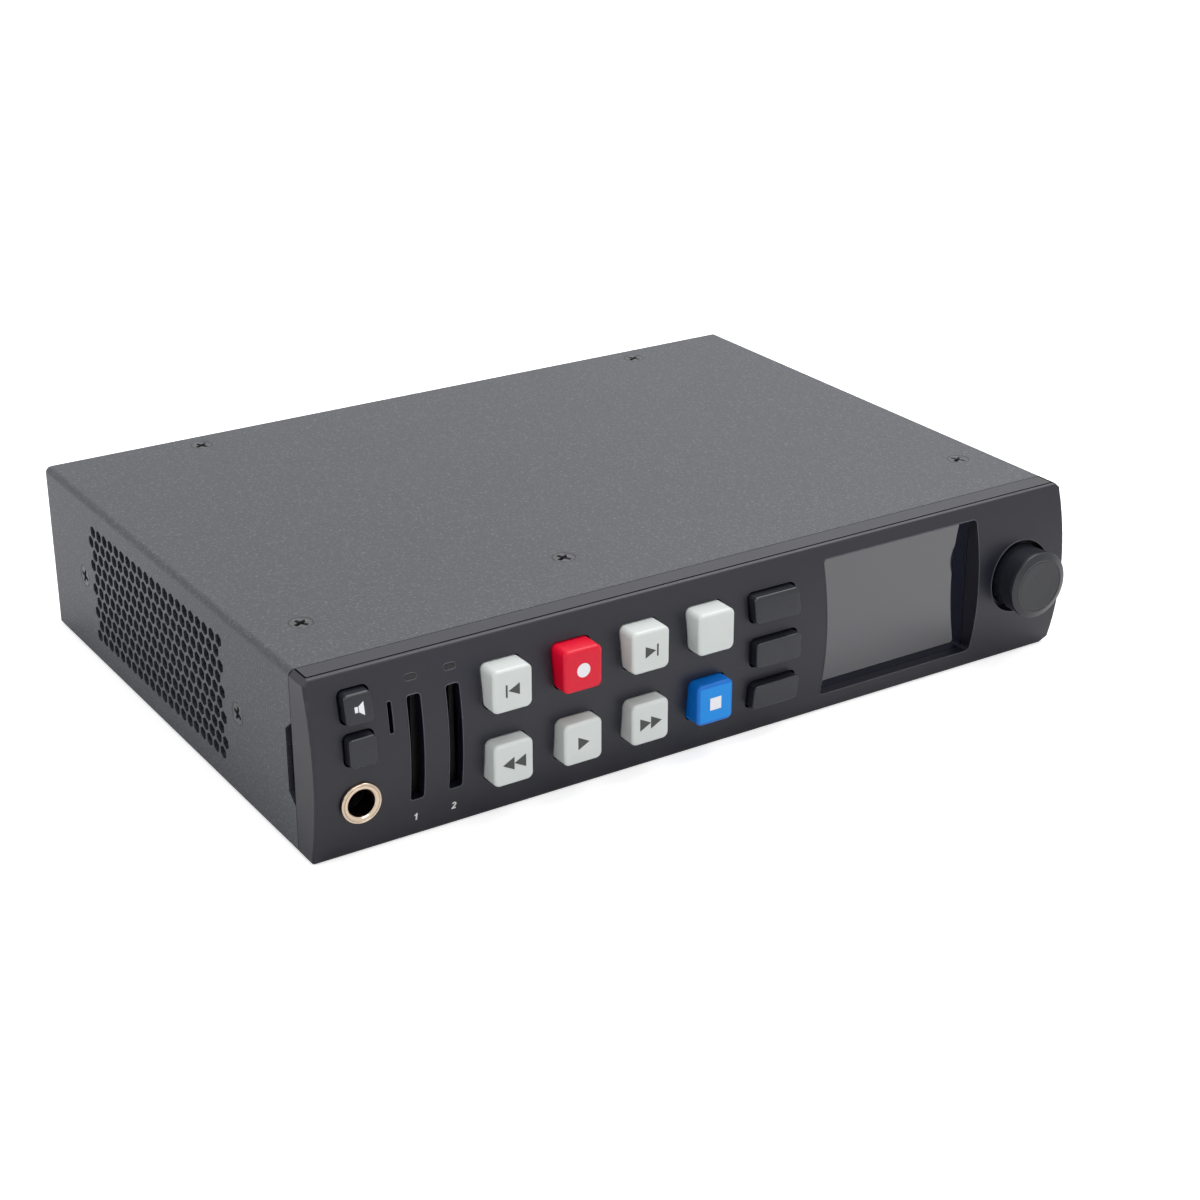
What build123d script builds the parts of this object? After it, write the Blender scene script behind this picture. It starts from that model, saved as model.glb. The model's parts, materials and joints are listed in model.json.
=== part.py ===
from build123d import *
import os
from math import sqrt

os.makedirs("parts", exist_ok=True)

# Frame: the origin is the centre of the underside, +X is the viewer's right, -Y is the front, +Z is up.
# All sizes are in millimetres.

# Case
case_width = 211.0
case_height = 43.8
body_depth = 142.6  # from the bezel seam to the cover's rear edge
bezel_bulge = 9.8  # how far the face stands in front of the seam
face_radius = 70.2  # the face is a slice of a wide cylinder that lies along X
sheet = 1.2
fold_radius = 1.6
cover_lift = 0.6  # the cover's sides end this far above the surface that the case stands on

# Clearances
slip = 0.15  # between fixed pieces that slide together
seam_gap = 0.2  # between the bezel and the cover
key_gap = 0.3  # between a square key and its cut-out
dark_gap = 0.5  # between a dark key and its cut-out
shaft_gap = 0.05  # radial, for a turning shaft
seat = 0.05  # between fixed pieces that all but touch
board_clear = 0.9  # between a board and the socket beside it
hide = 1.0  # how far a cutting tool runs past the wall that it cuts

# Bezel moulding
wall = 2.5
bezel_top_cut = 1.2  # the flat across each upper corner
bezel_foot_radius = 0.8
bezel_foot_cut = (2.4, 1.4)  # the flat across the lower right corner, along X and Z
face_edge_radius = 0.6
lip = 1.5
lip_reach = 6.5
lip_inset = 6.0
band_depth = 4.9  # the inlaid band along the top of the bezel, from the seam forwards
band_groove = 0.5

# Vent holes: hexagons in staggered rows
vent_hole = 2.9
vent_pitch = 3.75
vent_row_pitch = 3.2
vent_rows = 10
vent_holes = 21
vent_start = 36.4  # first hole, behind the seam
vent_drop = 7.3  # from the top of the case to the upper row
fan_vent_rows = 7
fan_vent_holes = 6

# Notch in each side of the cover at the seam
notch_depth = 3.2
notch_low = 11.2
notch_drop = 12.2  # from the top of the case
notch_slope = 2.6

# Screws
screw_radius = 1.5
screw_head_radius = 2.9
screw_sides = 12
screw_length = 4.2
under_screw_length = 3.0
lip_screw_share = (-0.33, 0.0, 0.33)  # of the case's width, like the other shares here
lip_screw_y = 3.7  # behind the seam
bracket_screw_share = (-0.095, 0.19)
panel_screw_share = (-0.38, 0.0, 0.38)
hole_gap = 0.25
thread_gap = 0.1
top_screw_front = 20.4  # behind the seam
top_screw_rear = 6.5  # in front of the rear edge
front_screw_inset = (12.9, 10.4)  # from the left and the right side
front_screw_share = -0.119
rear_screw_share = (-0.3085, 0.3374)
side_screw_z = 21.5
side_screw_y = (28.6, 120.3)  # behind the seam

# Square keys
key_width = 10.0
key_height = 10.25
key_corner = 1.5
key_edge = 0.6
key_proud = 3.8  # how far the faces stand in front of the bulge
key_low_z = 14.75
key_row_drop = 11.2  # from the top of the case to the upper row

# Dark keys
dark_proud = 2.4
dark_edge = 0.35
dark_corner = 1.1
small_key_inset = 10.8  # from the left side
small_key_drop = 7.4
small_key_share = 0.612  # height of the lower one, as a share of the case's
small_key_width = 6.6
small_key_height_share = 0.153
menu_key_drop = 10.1
menu_key_low_z = 11.4
menu_key_width = 13.0
menu_key_height = 6.5

# Behind every key
key_travel = 1.2
flange_front = -4.2  # from the seam, forwards is negative
flange_reach = 0.8
flange_thickness = 0.8
stem = 3.0
stem_gap = 0.2
stem_engagement = 1.1
switch_size = 6.0
switch_height = 3.5
switch_floor = 0.6
board = 1.6

# What is left of the face's width is shared out between the second card slot, the four columns of
# square keys, the menu keys and the window, in these proportions
front_shares = (7.25, 8.0, 8.0, 8.0, 7.6, 9.4)

# Display
window_inset = 28.2  # from the right side
window_width = 47.5
window_low = 4.9
window_drop = 3.5
window_corner = 1.0
window_set = 0.8  # how far the glass lies behind the back of the face at the window's upper rim
window_rim = 1.5
glass = 1.0
display_margin = (1.5, 1.0)  # how much smaller the module is than the window
display_opening = 0.5  # the bracket's cut-out behind the module, as a share of its height

# Card slots
slot_inset = 24.55  # from the left side
slot_pitch = 9.5
slot_height = 25.2
slot_lift = 0.8  # above the middle of the case
slot_width = 3.4
slot_corner = 0.8
socket_wall = 0.6
socket_end = 1.2
socket_reach = 30.0
socket_room = 2.0  # round the sockets in the bracket
card_thickness = 2.3
card_width = 24.4
card_depth = 26.0
card_board_foot = 6.0  # how far the card board reaches over the main board
ejector_width = 1.6
ejector_height = 2.2
ejector_length = 8.0
ejector_travel = 2.5
lamp_drop = 4.75
lamp_width = 2.8
lamp_height = 1.25
lamp_length = 3.5
sound_inset = 18.7  # from the left side
sound_drop = (15.9, 8.6)
sound_width = 1.1
speaker_thickness = 4.4
speaker_margin = 2.0

# Headphone jack
jack_inset = 10.5  # from the left side
jack_share = 0.3174  # height of its centre, as a share of the case's
jack_bore = 3.2
jack_sleeve_radius = 4.75
jack_sleeve_neck = 4.3
jack_sleeve_proud = 1.2
jack_body = 14.4
jack_front_step = 5.1  # in front of the seam
jack_depth = 27.0
jack_bore_depth = 24.0
jack_mouth = 0.3

# Search knob
knob_inset = 14.4  # from the right side
knob_lift = 0.75  # above the middle of the case
knob_radius = 8.35
knob_rim_radius = 8.62
knob_rim = 1.3
knob_face_radius = 6.8
knob_bevel = 0.6
knob_proud = 7.2
knob_back = 1.5  # how deep the knob reaches behind the bulge
well_radius = 9.5
well_wall = 1.2
well_depth = 4.4
knob_pocket = 1.4
knob_pocket_radius = 6.4
shaft_radius = 3.0
bushing_radius = 4.4
bushing_proud = 0.6  # from the well floor towards the knob, past the pocket mouth
encoder_size = 12.0

# Folded steel inside
flange = 8.0
ear_width = 12.0
ear_above = 5.5  # above its screw
bracket_y = 7.6
bracket_top = 26.0  # how far back the bracket's top flange reaches
rear_inset = 0.4
rear_flange = 11.0

# Boards
standoff = 4.8
standoff_radius = 2.6
main_board_inset = 7.5  # from the left side
main_board_front = 28.0
main_board_rear = 5.0  # in front of the rear edge
main_board_units = 18  # the board's width is counted in these to place what stands on it
board_aisle = 8.0  # between the two boards
power_board_inset = 12.5  # from the right side
power_board_width = 39.0
power_board_length = 52.0
power_board_rear = 30.0
board_hole_inset = 4.5

# Parts on the boards
processor = 24.0
processor_height = 2.4
processor_place = (9.5, 62.0)  # board units, and behind the seam
sink = 32.0
sink_base = 2.5
sink_fin = 1.4
sink_fins = 8
sink_height = 12.0
cell_radius = 10.0
cell_height = 3.2
cell_place = (15.0, 92.0)
cell_rim = 1.0
core_size = (24.0, 21.0, 18.0)
core_flange = 4.0
core_step = 2.0
capacitor_radius = 6.0
capacitor_height = 20.0

# Fan
fan_foot_gap = 0.4  # above the tray's flange
fan_head_gap = 4.2  # below the cover
fan_thickness = 8.0
fan_rim = 1.0
fan_tip_gap = 0.4
fan_hub = 6.0
fan_blades = 7
fan_blade = 0.9
fan_blade_tilt = 35.0
fan_centre_y = 53.0
fan_strut = 2.0
fan_plate = 1.2
fan_pin = 1.0
fan_corner = 2.5

# Rear connectors
coax_units = (1, 3, 5, 7)
coax_z = 15.6
coax_hole = 6.4
coax_barrel = 4.8
coax_bore = 4.0
coax_proud = 10.5
coax_block = 13.0
coax_pin = 1.1
coax_lug = 1.0
hdmi_units = (9.625, 12.375)
hdmi_inner = (14.0, 4.6)
hdmi_depth = 11.0
network_unit = 15.125
network_size = (16.0, 13.6)
network_hole = (11.8, 8.2)
network_depth = 21.0
usb_unit = 17.125
usb_inner = (8.4, 2.7)
usb_depth = 8.0
shell = 0.5
remote_unit = 13.125
remote_flange = (30.8, 12.5)
remote_shell = (16.9, 8.3)
remote_proud = 5.8
remote_spacing = 24.99
jackscrew_radius = 2.6
jackscrew_hole = 1.4
jackscrew_length = 5.0
inlet_inset = 26.5  # from the right side
inlet_sink = 0.4  # below the middle of the case
inlet_body = (27.0, 19.4)
inlet_rim = (31.0, 23.4)
inlet_cavity = (24.6, 16.8)
inlet_cavity_depth = 16.0
inlet_depth = 22.0
inlet_rim_thickness = 2.0
inlet_pin = (2.0, 4.0, 14.0)
inlet_pin_spread = 7.0

# Ribbon cable between the front board and the main board
ribbon_opening = (30.0, 5.0)
ribbon_width = 20.0
ribbon_thickness = 0.5
ribbon_bend = 3.0
ribbon_plug = (22.0, 3.6, 4.0)

# Rack shelf holes in the underside
shelf_hole_radius = 1.5
shelf_inset = 20.5  # from each side
shelf_pitch = 90.0

# Places that follow from the sizes
case_depth = body_depth + bezel_bulge
seam_y = bezel_bulge - case_depth / 2
rear_y = seam_y + body_depth
bulge_y = seam_y - bezel_bulge
face_centre_y = bulge_y + face_radius
half_width = case_width / 2
left = -half_width
right = half_width
middle_z = case_height / 2
cover_inside = half_width - sheet
cover_inner_top = case_height - sheet
tray_half = cover_inside - slip
key_face_y = bulge_y - key_proud
flange_y = seam_y + flange_front
stem_back = flange_front + flange_thickness
board_front = stem_back + key_travel + stem_gap + switch_height
front_board_y = seam_y + board_front
switch_front = board_front - switch_height
board_z = sheet + standoff
board_top = board_z + board
panel_face = rear_y - rear_inset
panel_inner = panel_face - sheet
panel_low = sheet + slip
panel_high = cover_inner_top - slip
notch_high = case_height - notch_drop

# The front, from left to right
small_key_x = left + small_key_inset
small_key_z = (case_height - small_key_drop, small_key_share * case_height)
small_key_height = small_key_height_share * case_height
jack_x = left + jack_inset
jack_z = jack_share * case_height
sound_x = left + sound_inset
sound_z = [case_height - drop for drop in sound_drop]
slot_x = (left + slot_inset, left + slot_inset + slot_pitch)
slot_centre_z = middle_z + slot_lift
slot_z = (slot_centre_z - slot_height / 2, slot_centre_z + slot_height / 2)
socket_z = (slot_z[0] - socket_end, slot_z[1] + socket_end)
socket_half = slot_width / 2 + socket_wall
card_board_x = sum(slot_x) / 2
lamp_z = case_height - lamp_drop
window_x = (right - window_inset - window_width, right - window_inset)
window_z = (window_low, case_height - window_drop)
window_height = window_z[1] - window_z[0]
window_centre = (sum(window_x) / 2, sum(window_z) / 2)
display_width = window_width - display_margin[0]
display_height = window_height - display_margin[1]
knob_x = right - knob_inset
knob_z = middle_z + knob_lift
front_room = window_x[0] - slot_x[1] - 4 * key_width - menu_key_width
front_share = front_room / sum(front_shares)
key_columns = [
    slot_x[1] + front_share * sum(front_shares[: column + 1]) + key_width * (column + 0.5)
    for column in range(4)
]
key_row_z = (case_height - key_row_drop, key_low_z)
menu_key_x = window_x[0] - front_share * front_shares[-1] - menu_key_width / 2
menu_key_high_z = case_height - menu_key_drop
menu_key_z = (menu_key_high_z, (menu_key_high_z + menu_key_low_z) / 2, menu_key_low_z)
front_board_left = key_columns[0] - key_width / 2
ribbon_x = key_columns[1]
ribbon_z = key_row_z[1]

# The boards and the rear, from left to right
power_board_x = (right - power_board_inset - power_board_width, right - power_board_inset)
main_board_x = (left + main_board_inset, power_board_x[0] - board_aisle)
board_unit = (main_board_x[1] - main_board_x[0]) / main_board_units
coax_x = [main_board_x[0] + board_unit * units for units in coax_units]
hdmi_x = [main_board_x[0] + board_unit * units for units in hdmi_units]
network_x = main_board_x[0] + board_unit * network_unit
usb_x = main_board_x[0] + board_unit * usb_unit
remote_x = main_board_x[0] + board_unit * remote_unit
remote_z = (board_top + network_size[1] + panel_high - sheet) / 2
remote_screw_places = [(remote_x + side * remote_spacing / 2, remote_z) for side in (-1, 1)]
inlet_x = right - inlet_inset
inlet_z = middle_z - inlet_sink

# The fan stands between the tray's flange and the cover
fan_low = flange + fan_foot_gap
fan_size = cover_inner_top - fan_head_gap - fan_low
fan_centre_z = fan_low + fan_size / 2
fan_bore = fan_size / 2 - fan_rim


def face_y(height, offset=0.0):
    """Y of the face at this height, on a cylinder grown by the offset."""
    return face_centre_y - sqrt((face_radius + offset) ** 2 - (height - middle_z) ** 2)


glass_y = face_y(window_z[1] + window_rim, -wall / 2) + window_set


def block(low, high, mode=Mode.ADD):
    """A box between two opposite corners."""
    with Locations(tuple(low)):
        Box(*(b - a for a, b in zip(low, high)), align=(Align.MIN,) * 3, mode=mode)


def face_slice(offset, back, low, high):
    """Side profile, in Y and Z, between the face, a plane behind it and two heights."""
    middle = (low + high) / 2
    with BuildSketch() as profile:
        with BuildLine():
            ThreePointArc(
                (face_y(low, offset), low), (face_y(middle, offset), middle), (face_y(high, offset), high)
            )
            Polyline((face_y(high, offset), high), (back, high), (back, low), (face_y(low, offset), low))
        make_face()
    return profile.sketch


def front_plane(y):
    """A plane that faces the front, at this Y."""
    return Plane.XZ.offset(-y)


def keep(piece, name):
    """Label a finished piece and write it."""
    piece.part.label = name
    export_step(piece.part, f"parts/{name}.step")


square_keys = {}
for row_names, row_z in zip(
    (
        ("key_skip_back", "key_record", "key_skip_forward", "key_input"),
        ("key_rewind", "key_play", "key_fast_forward", "key_stop"),
    ),
    key_row_z,
):
    for key_name, column_x in zip(row_names, key_columns):
        square_keys[key_name] = (column_x, row_z, key_width, key_height)
small_keys = {
    key_name: (small_key_x, key_z, small_key_width, small_key_height)
    for key_name, key_z in zip(("key_monitor", "key_remote"), small_key_z)
}
menu_keys = {
    key_name: (menu_key_x, key_z, menu_key_width, menu_key_height)
    for key_name, key_z in zip(("key_search", "key_menu", "key_set"), menu_key_z)
}
dark_keys = {**small_keys, **menu_keys}
all_keys = {**square_keys, **dark_keys}


def flat_screw(length):
    """A screw with a countersunk head of flat sides, its top at the origin and its shank along -Z."""
    with BuildPart() as screw:
        with BuildSketch():
            RegularPolygon(screw_head_radius, screw_sides)
        extrude(amount=-(screw_head_radius - screw_radius), taper=45)
        with BuildSketch():
            RegularPolygon(screw_radius, screw_sides // 2)
        extrude(amount=-length)
    return screw.part


def countersink():
    """The cut for such a screw's head, down through the sheet from the origin."""
    with BuildPart() as cut:
        with BuildSketch():
            RegularPolygon(screw_head_radius + seat, screw_sides)
        extrude(amount=-(sheet + seat), taper=45)
    return cut.part


def screw_hole(gap, depth):
    """An eight-sided hole for a shank, down from the origin."""
    with BuildPart() as cut:
        with BuildSketch():
            RegularPolygon(screw_radius + gap, 8, major_radius=False)
        extrude(amount=-depth)
    return cut.part


front_screw_x = (left + front_screw_inset[0], front_screw_share * case_width, right - front_screw_inset[1])
rear_screw_x = [share * case_width for share in rear_screw_share]
top_screw_places = [(x, seam_y + top_screw_front, case_height) for x in front_screw_x]
top_screw_places += [(x, rear_y - top_screw_rear, case_height) for x in rear_screw_x]
side_screw_places = [
    Location((side * half_width, seam_y + y, side_screw_z), (0, side * 90, 0))
    for side in (-1, 1)
    for y in side_screw_y
]

lip_screw_places = [(share * case_width, seam_y + lip_screw_y) for share in lip_screw_share]
bracket_screw_y = seam_y + bracket_y + sheet + flange / 2
bracket_screw_places = [(share * case_width, bracket_screw_y) for share in bracket_screw_share]
panel_screw_places = [(share * case_width, panel_inner - rear_flange / 2) for share in panel_screw_share]
under_screw_places = lip_screw_places + bracket_screw_places + panel_screw_places
under_screw_locations = [Location((x, y, 0), (180, 0, 0)) for x, y in under_screw_places]

# Top cover: the top and both sides folded from one sheet
with BuildPart() as top_cover:
    with BuildSketch(front_plane(rear_y)) as cover_profile:
        with Locations((0, cover_lift)):
            Rectangle(case_width, case_height - cover_lift, align=(Align.CENTER, Align.MIN))
        fillet(cover_profile.vertices().group_by(Axis.Y)[-1], fold_radius)
        with Locations((0, cover_lift)):
            Rectangle(
                case_width - 2 * sheet,
                case_height - cover_lift - sheet,
                align=(Align.CENTER, Align.MIN),
                mode=Mode.SUBTRACT,
            )
        inside_corners = [v for v in cover_profile.vertices() if abs(v.Y - cover_inner_top) < seat]
        fillet(inside_corners, fold_radius - sheet)
    extrude(amount=body_depth - seam_gap)
    with BuildSketch(Plane.YZ.offset(left - hide)):
        with BuildLine():
            Polyline(
                (seam_y, notch_low),
                (seam_y + notch_depth, notch_low + notch_slope),
                (seam_y + notch_depth, notch_high - notch_slope),
                (seam_y, notch_high),
                close=True,
            )
        make_face()
    extrude(amount=case_width + 2 * hide, mode=Mode.SUBTRACT)
    with Locations(*top_screw_places, *side_screw_places):
        add(countersink(), mode=Mode.SUBTRACT)
    for side, rows, holes, first_hole, top_row in (
        (-1, vent_rows, vent_holes, seam_y + vent_start, case_height - vent_drop),
        (
            1,
            fan_vent_rows,
            fan_vent_holes,
            seam_y + fan_centre_y - (fan_vent_holes - 0.5) * vent_pitch / 2,
            fan_centre_z + (fan_vent_rows - 1) * vent_row_pitch / 2,
        ),
    ):
        with BuildSketch(Plane.YZ.offset(side * (half_width + hide) - max(side, 0) * (sheet + 2 * hide))):
            for row in range(rows):
                row_start = first_hole + vent_pitch / 2 * (row % 2)
                row_centre = row_start + vent_pitch * (holes - 1) / 2
                with Locations((row_centre, top_row - row * vent_row_pitch)):
                    with GridLocations(vent_pitch, vent_pitch, holes, 1):
                        RegularPolygon(vent_hole / 2, 6, major_radius=False, rotation=30)
        extrude(amount=sheet + 2 * hide, mode=Mode.SUBTRACT)
keep(top_cover, "top_cover")

# Bottom tray: a plate with low side flanges and an ear behind each side screw
with BuildPart() as bottom_tray:
    block((-tray_half, seam_y + slip, 0), (tray_half, panel_inner - slip, sheet))
    for side in (-1, 1):
        outer = side * tray_half
        inner = side * (tray_half - sheet)
        low_x, high_x = min(outer, inner), max(outer, inner)
        block((low_x, seam_y + flange, 0), (high_x, panel_inner - rear_flange - slip, flange))
        for y in side_screw_y:
            with BuildSketch(Plane.YZ.offset(low_x)) as ear:
                with Locations((seam_y + y, 0)):
                    Rectangle(ear_width, side_screw_z + ear_above, align=(Align.CENTER, Align.MIN))
                fillet(ear.vertices().group_by(Axis.Y)[-1], fold_radius)
            extrude(amount=sheet)
    fillet(bottom_tray.edges().filter_by(Axis.Y).group_by(Axis.Z)[0], sheet * 0.8)
    with Locations(*side_screw_places):
        add(screw_hole(thread_gap, 2 * sheet + hide), mode=Mode.SUBTRACT)
    with GridLocations(case_width - 2 * shelf_inset, shelf_pitch, 2, 2):
        Hole(shelf_hole_radius, depth=sheet + hide)
    with Locations(*under_screw_locations):
        add(countersink(), mode=Mode.SUBTRACT)
keep(bottom_tray, "bottom_tray")

# Rear panel: a plate inside the cover, flanged along its top and foot, cut out for every connector
with BuildPart() as rear_panel:
    block((-tray_half, panel_inner, panel_low), (tray_half, panel_face, panel_high))
    fillet(rear_panel.edges().filter_by(Axis.Y).group_by(Axis.Z)[-1], fold_radius - sheet)
    block(
        (-tray_half + flange, panel_inner - rear_flange, panel_high - sheet),
        (tray_half - flange, panel_inner, panel_high),
    )
    block(
        (-tray_half + flange, panel_inner - rear_flange, panel_low),
        (tray_half - flange, panel_inner, panel_low + sheet),
    )
    with BuildSketch(front_plane(panel_face + hide)):
        with Locations(*((x, coax_z) for x in coax_x)):
            Circle(coax_hole)
        with Locations(*((x, board_top + hdmi_inner[1] / 2 + shell) for x in hdmi_x)):
            Rectangle(hdmi_inner[0] + 2 * (shell + slip), hdmi_inner[1] + 2 * (shell + slip))
        with Locations((network_x, board_top + network_size[1] / 2)):
            Rectangle(network_size[0] + 2 * slip, network_size[1] + 2 * slip)
        with Locations((usb_x, board_top + usb_inner[1] / 2 + shell)):
            RectangleRounded(
                usb_inner[0] + 2 * (shell + slip), usb_inner[1] + 2 * (shell + slip), usb_inner[1] / 2
            )
        with Locations((remote_x, remote_z)):
            RectangleRounded(remote_shell[0] + 2 * hole_gap, remote_shell[1] + 2 * hole_gap, hide)
        with Locations(*remote_screw_places):
            Circle(screw_radius + hole_gap)
        with Locations((inlet_x, inlet_z)):
            Rectangle(inlet_body[0] + 2 * slip, inlet_body[1] + 2 * slip)
    extrude(amount=sheet + 2 * hide, mode=Mode.SUBTRACT)
    with Locations(
        *((x, rear_y - top_screw_rear, panel_high) for x in rear_screw_x),
        *((x, y, panel_low + sheet) for x, y in panel_screw_places),
    ):
        add(screw_hole(thread_gap, sheet + hide), mode=Mode.SUBTRACT)
keep(rear_panel, "rear_panel")

# Front bracket: a wall behind the front board with a flange under the cover and one on the tray
bracket_front = seam_y + bracket_y
bracket_back = bracket_front + sheet
bracket_low = sheet + slip
bracket_high = cover_inner_top - slip
bracket_half = tray_half - sheet - slip
jack_low = (jack_x - jack_body / 2, jack_z - jack_body / 2)
with BuildPart() as front_bracket:
    block((-bracket_half, bracket_front, bracket_low), (bracket_half, bracket_back, bracket_high))
    block(
        (-bracket_half, bracket_front, bracket_high - sheet),
        (bracket_half, seam_y + bracket_top, bracket_high),
    )
    block(
        (front_board_left, bracket_front, bracket_low),
        (bracket_half, bracket_back + flange, bracket_low + sheet),
    )
    block(
        (slot_x[0] - socket_half - socket_room, bracket_front - hide, socket_z[0] - socket_room),
        (slot_x[1] + socket_half + socket_room, bracket_back + hide, socket_z[1] + socket_room),
        Mode.SUBTRACT,
    )
    block(
        (-bracket_half - hide, bracket_front - hide, bracket_low - hide),
        (slot_x[0] - socket_half, bracket_back + hide, jack_z + jack_body / 2 + hide),
        Mode.SUBTRACT,
    )
    with BuildSketch(front_plane(bracket_front - hide)):
        with Locations(window_centre):
            RectangleRounded(display_width - 2 * window_rim, display_height * display_opening, key_corner)
        with Locations((ribbon_x, ribbon_z)):
            RectangleRounded(*ribbon_opening, key_corner)
    extrude(amount=-(sheet + 2 * hide), mode=Mode.SUBTRACT)
    with Locations(
        *((x, seam_y + top_screw_front, bracket_high) for x in front_screw_x),
        *((x, y, bracket_low + sheet) for x, y in bracket_screw_places),
    ):
        add(screw_hole(thread_gap, sheet + hide), mode=Mode.SUBTRACT)
keep(front_bracket, "front_bracket")

# Front bezel: a curved moulding with a wall all round, open at the back
well_floor_back = bulge_y + well_depth + well_wall
with BuildPart() as front_bezel:
    with BuildSketch(Plane.YZ.offset(left)):
        add(face_slice(0, seam_y, 0, case_height))
    extrude(amount=case_width)
    chamfer(front_bezel.edges().filter_by(Axis.Y).group_by(Axis.Z)[-1], bezel_top_cut)
    left_foot, right_foot = front_bezel.edges().filter_by(Axis.Y).group_by(Axis.Z)[0].sort_by(Axis.X)
    fillet(left_foot, bezel_foot_radius)
    with BuildSketch(front_plane(seam_y + hide)):
        with BuildLine():
            Polyline(
                (right - bezel_foot_cut[0], 0),
                (right, bezel_foot_cut[1]),
                (right + hide, bezel_foot_cut[1]),
                (right + hide, -hide),
                (right - bezel_foot_cut[0], -hide),
                close=True,
            )
        make_face()
    extrude(amount=bezel_bulge + 2 * hide, mode=Mode.SUBTRACT)
    face = front_bezel.faces().filter_by(GeomType.CYLINDER).sort_by(SortBy.AREA)[-1]
    fillet(face.edges(), face_edge_radius)
    with BuildSketch(Plane.YZ.offset(left + wall)):
        add(face_slice(-wall, seam_y + hide, wall, case_height - wall))
    extrude(amount=case_width - 2 * wall, mode=Mode.SUBTRACT)
    block(
        (-half_width + lip_inset, seam_y - lip_reach / 2, cover_inner_top - slip - lip),
        (half_width - lip_inset, seam_y + lip_reach, cover_inner_top - slip),
    )
    block(
        (-half_width + lip_inset, seam_y - lip_reach / 2, sheet + slip),
        (half_width - lip_inset, seam_y + lip_reach, sheet + slip + lip),
    )
    with Locations(*((x, y, sheet + slip + lip) for x, y in lip_screw_places)):
        add(screw_hole(thread_gap, lip + hide), mode=Mode.SUBTRACT)
    with BuildSketch(Plane.YZ.offset(window_x[0] - window_rim)):
        add(face_slice(-wall / 2, glass_y, window_z[0] - window_rim, window_z[1] + window_rim))
    extrude(amount=window_width + 2 * window_rim)
    with BuildSketch(front_plane(glass_y)):
        with Locations(window_centre):
            RectangleRounded(
                window_width + window_rim + 2 * slip, window_height + window_rim + 2 * slip, window_corner
            )
    extrude(amount=glass_y - seam_y, mode=Mode.SUBTRACT)
    with BuildSketch(front_plane(well_floor_back)):
        with Locations((knob_x, knob_z)):
            Circle(well_radius + well_wall)
    extrude(amount=well_depth + well_wall - wall * 0.7)
    with BuildSketch(front_plane(seam_y - hide)):
        with Locations(window_centre):
            RectangleRounded(window_width, window_height, window_corner)
        for x, z, width, height in square_keys.values():
            with Locations((x, z)):
                RectangleRounded(width + 2 * key_gap, height + 2 * key_gap, key_corner + key_gap)
        for x, z, width, height in dark_keys.values():
            with Locations((x, z)):
                RectangleRounded(width + 2 * dark_gap, height + 2 * dark_gap, dark_corner + dark_gap)
        for x in slot_x:
            with Locations((x, slot_centre_z)):
                RectangleRounded(slot_width, slot_height, slot_corner)
            with Locations((x, lamp_z)):
                SlotOverall(lamp_width + 2 * seat, lamp_height + 2 * seat)
        with Locations((sound_x, sum(sound_z) / 2)):
            SlotOverall(sound_z[1] - sound_z[0], sound_width, rotation=90)
        with Locations((jack_x, jack_z)):
            Circle(jack_sleeve_neck + hole_gap)
        with Locations((knob_x, knob_z)):
            Circle(bushing_radius + 2 * key_gap)
    extrude(amount=bezel_bulge + hide, mode=Mode.SUBTRACT)
    with BuildSketch(front_plane(bulge_y + well_depth)):
        with Locations((knob_x, knob_z)):
            Circle(well_radius)
    extrude(amount=well_depth + hide, mode=Mode.SUBTRACT)
    groove_y = seam_y - band_depth
    groove_x = half_width - bezel_top_cut - seat
    block(
        (-groove_x, groove_y - band_groove, case_height - band_groove),
        (groove_x, groove_y, case_height + hide),
        Mode.SUBTRACT,
    )
    for x in (-groove_x, groove_x - band_groove):
        block(
            (x, groove_y, case_height - band_groove),
            (x + band_groove, seam_y + hide, case_height + hide),
            Mode.SUBTRACT,
        )
keep(front_bezel, "front_bezel")

# Display: a glass pane against the back of the window's rim, and the module behind it on the front board
module_front = glass_y + glass + key_gap
with BuildPart() as display_window:
    with BuildSketch(front_plane(glass_y + glass + seat)):
        with Locations(window_centre):
            RectangleRounded(window_width + window_rim, window_height + window_rim, window_corner)
    extrude(amount=glass)
keep(display_window, "display_window")

with BuildPart() as display_module:
    with BuildSketch(front_plane(front_board_y)):
        with Locations(window_centre):
            RectangleRounded(display_width, display_height, window_corner)
    extrude(amount=front_board_y - module_front)
keep(display_module, "display_module")

# Front board, with room at its left for the card sockets
board_low = sheet + slip + lip + hide
board_high = cover_inner_top - slip - lip - hide
board_right = half_width - wall - hide
with BuildPart() as front_board:
    block((front_board_left, front_board_y, board_low), (board_right, front_board_y + board, board_high))
keep(front_board, "front_board")

# Side board for the two small keys, behind the speaker
side_board_left = -half_width + wall + hide
side_board_right = slot_x[0] - socket_half - board_clear
side_board_low = small_key_z[1] - small_key_height / 2 - socket_wall
with BuildPart() as side_board:
    block(
        (side_board_left, front_board_y, side_board_low),
        (side_board_right, front_board_y + board, board_high),
    )
keep(side_board, "side_board")

# Spacers between the boards and the bracket
spacer_low = board_low + standoff_radius + hide
spacer_high = board_high - standoff_radius - hide
with BuildPart() as board_spacers:
    with BuildSketch(front_plane(front_board_y + board)):
        with Locations(
            (side_board_left + standoff_radius + hide, spacer_high),
            (front_board_left + standoff_radius + hide, spacer_low),
            (front_board_left + standoff_radius + hide, spacer_high),
            (board_right - standoff_radius - hide, spacer_low),
            (board_right - standoff_radius - hide, spacer_high),
        ):
            RegularPolygon(standoff_radius, 6)
    extrude(amount=-(bracket_front - front_board_y - board))
keep(board_spacers, "board_spacers")

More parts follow.
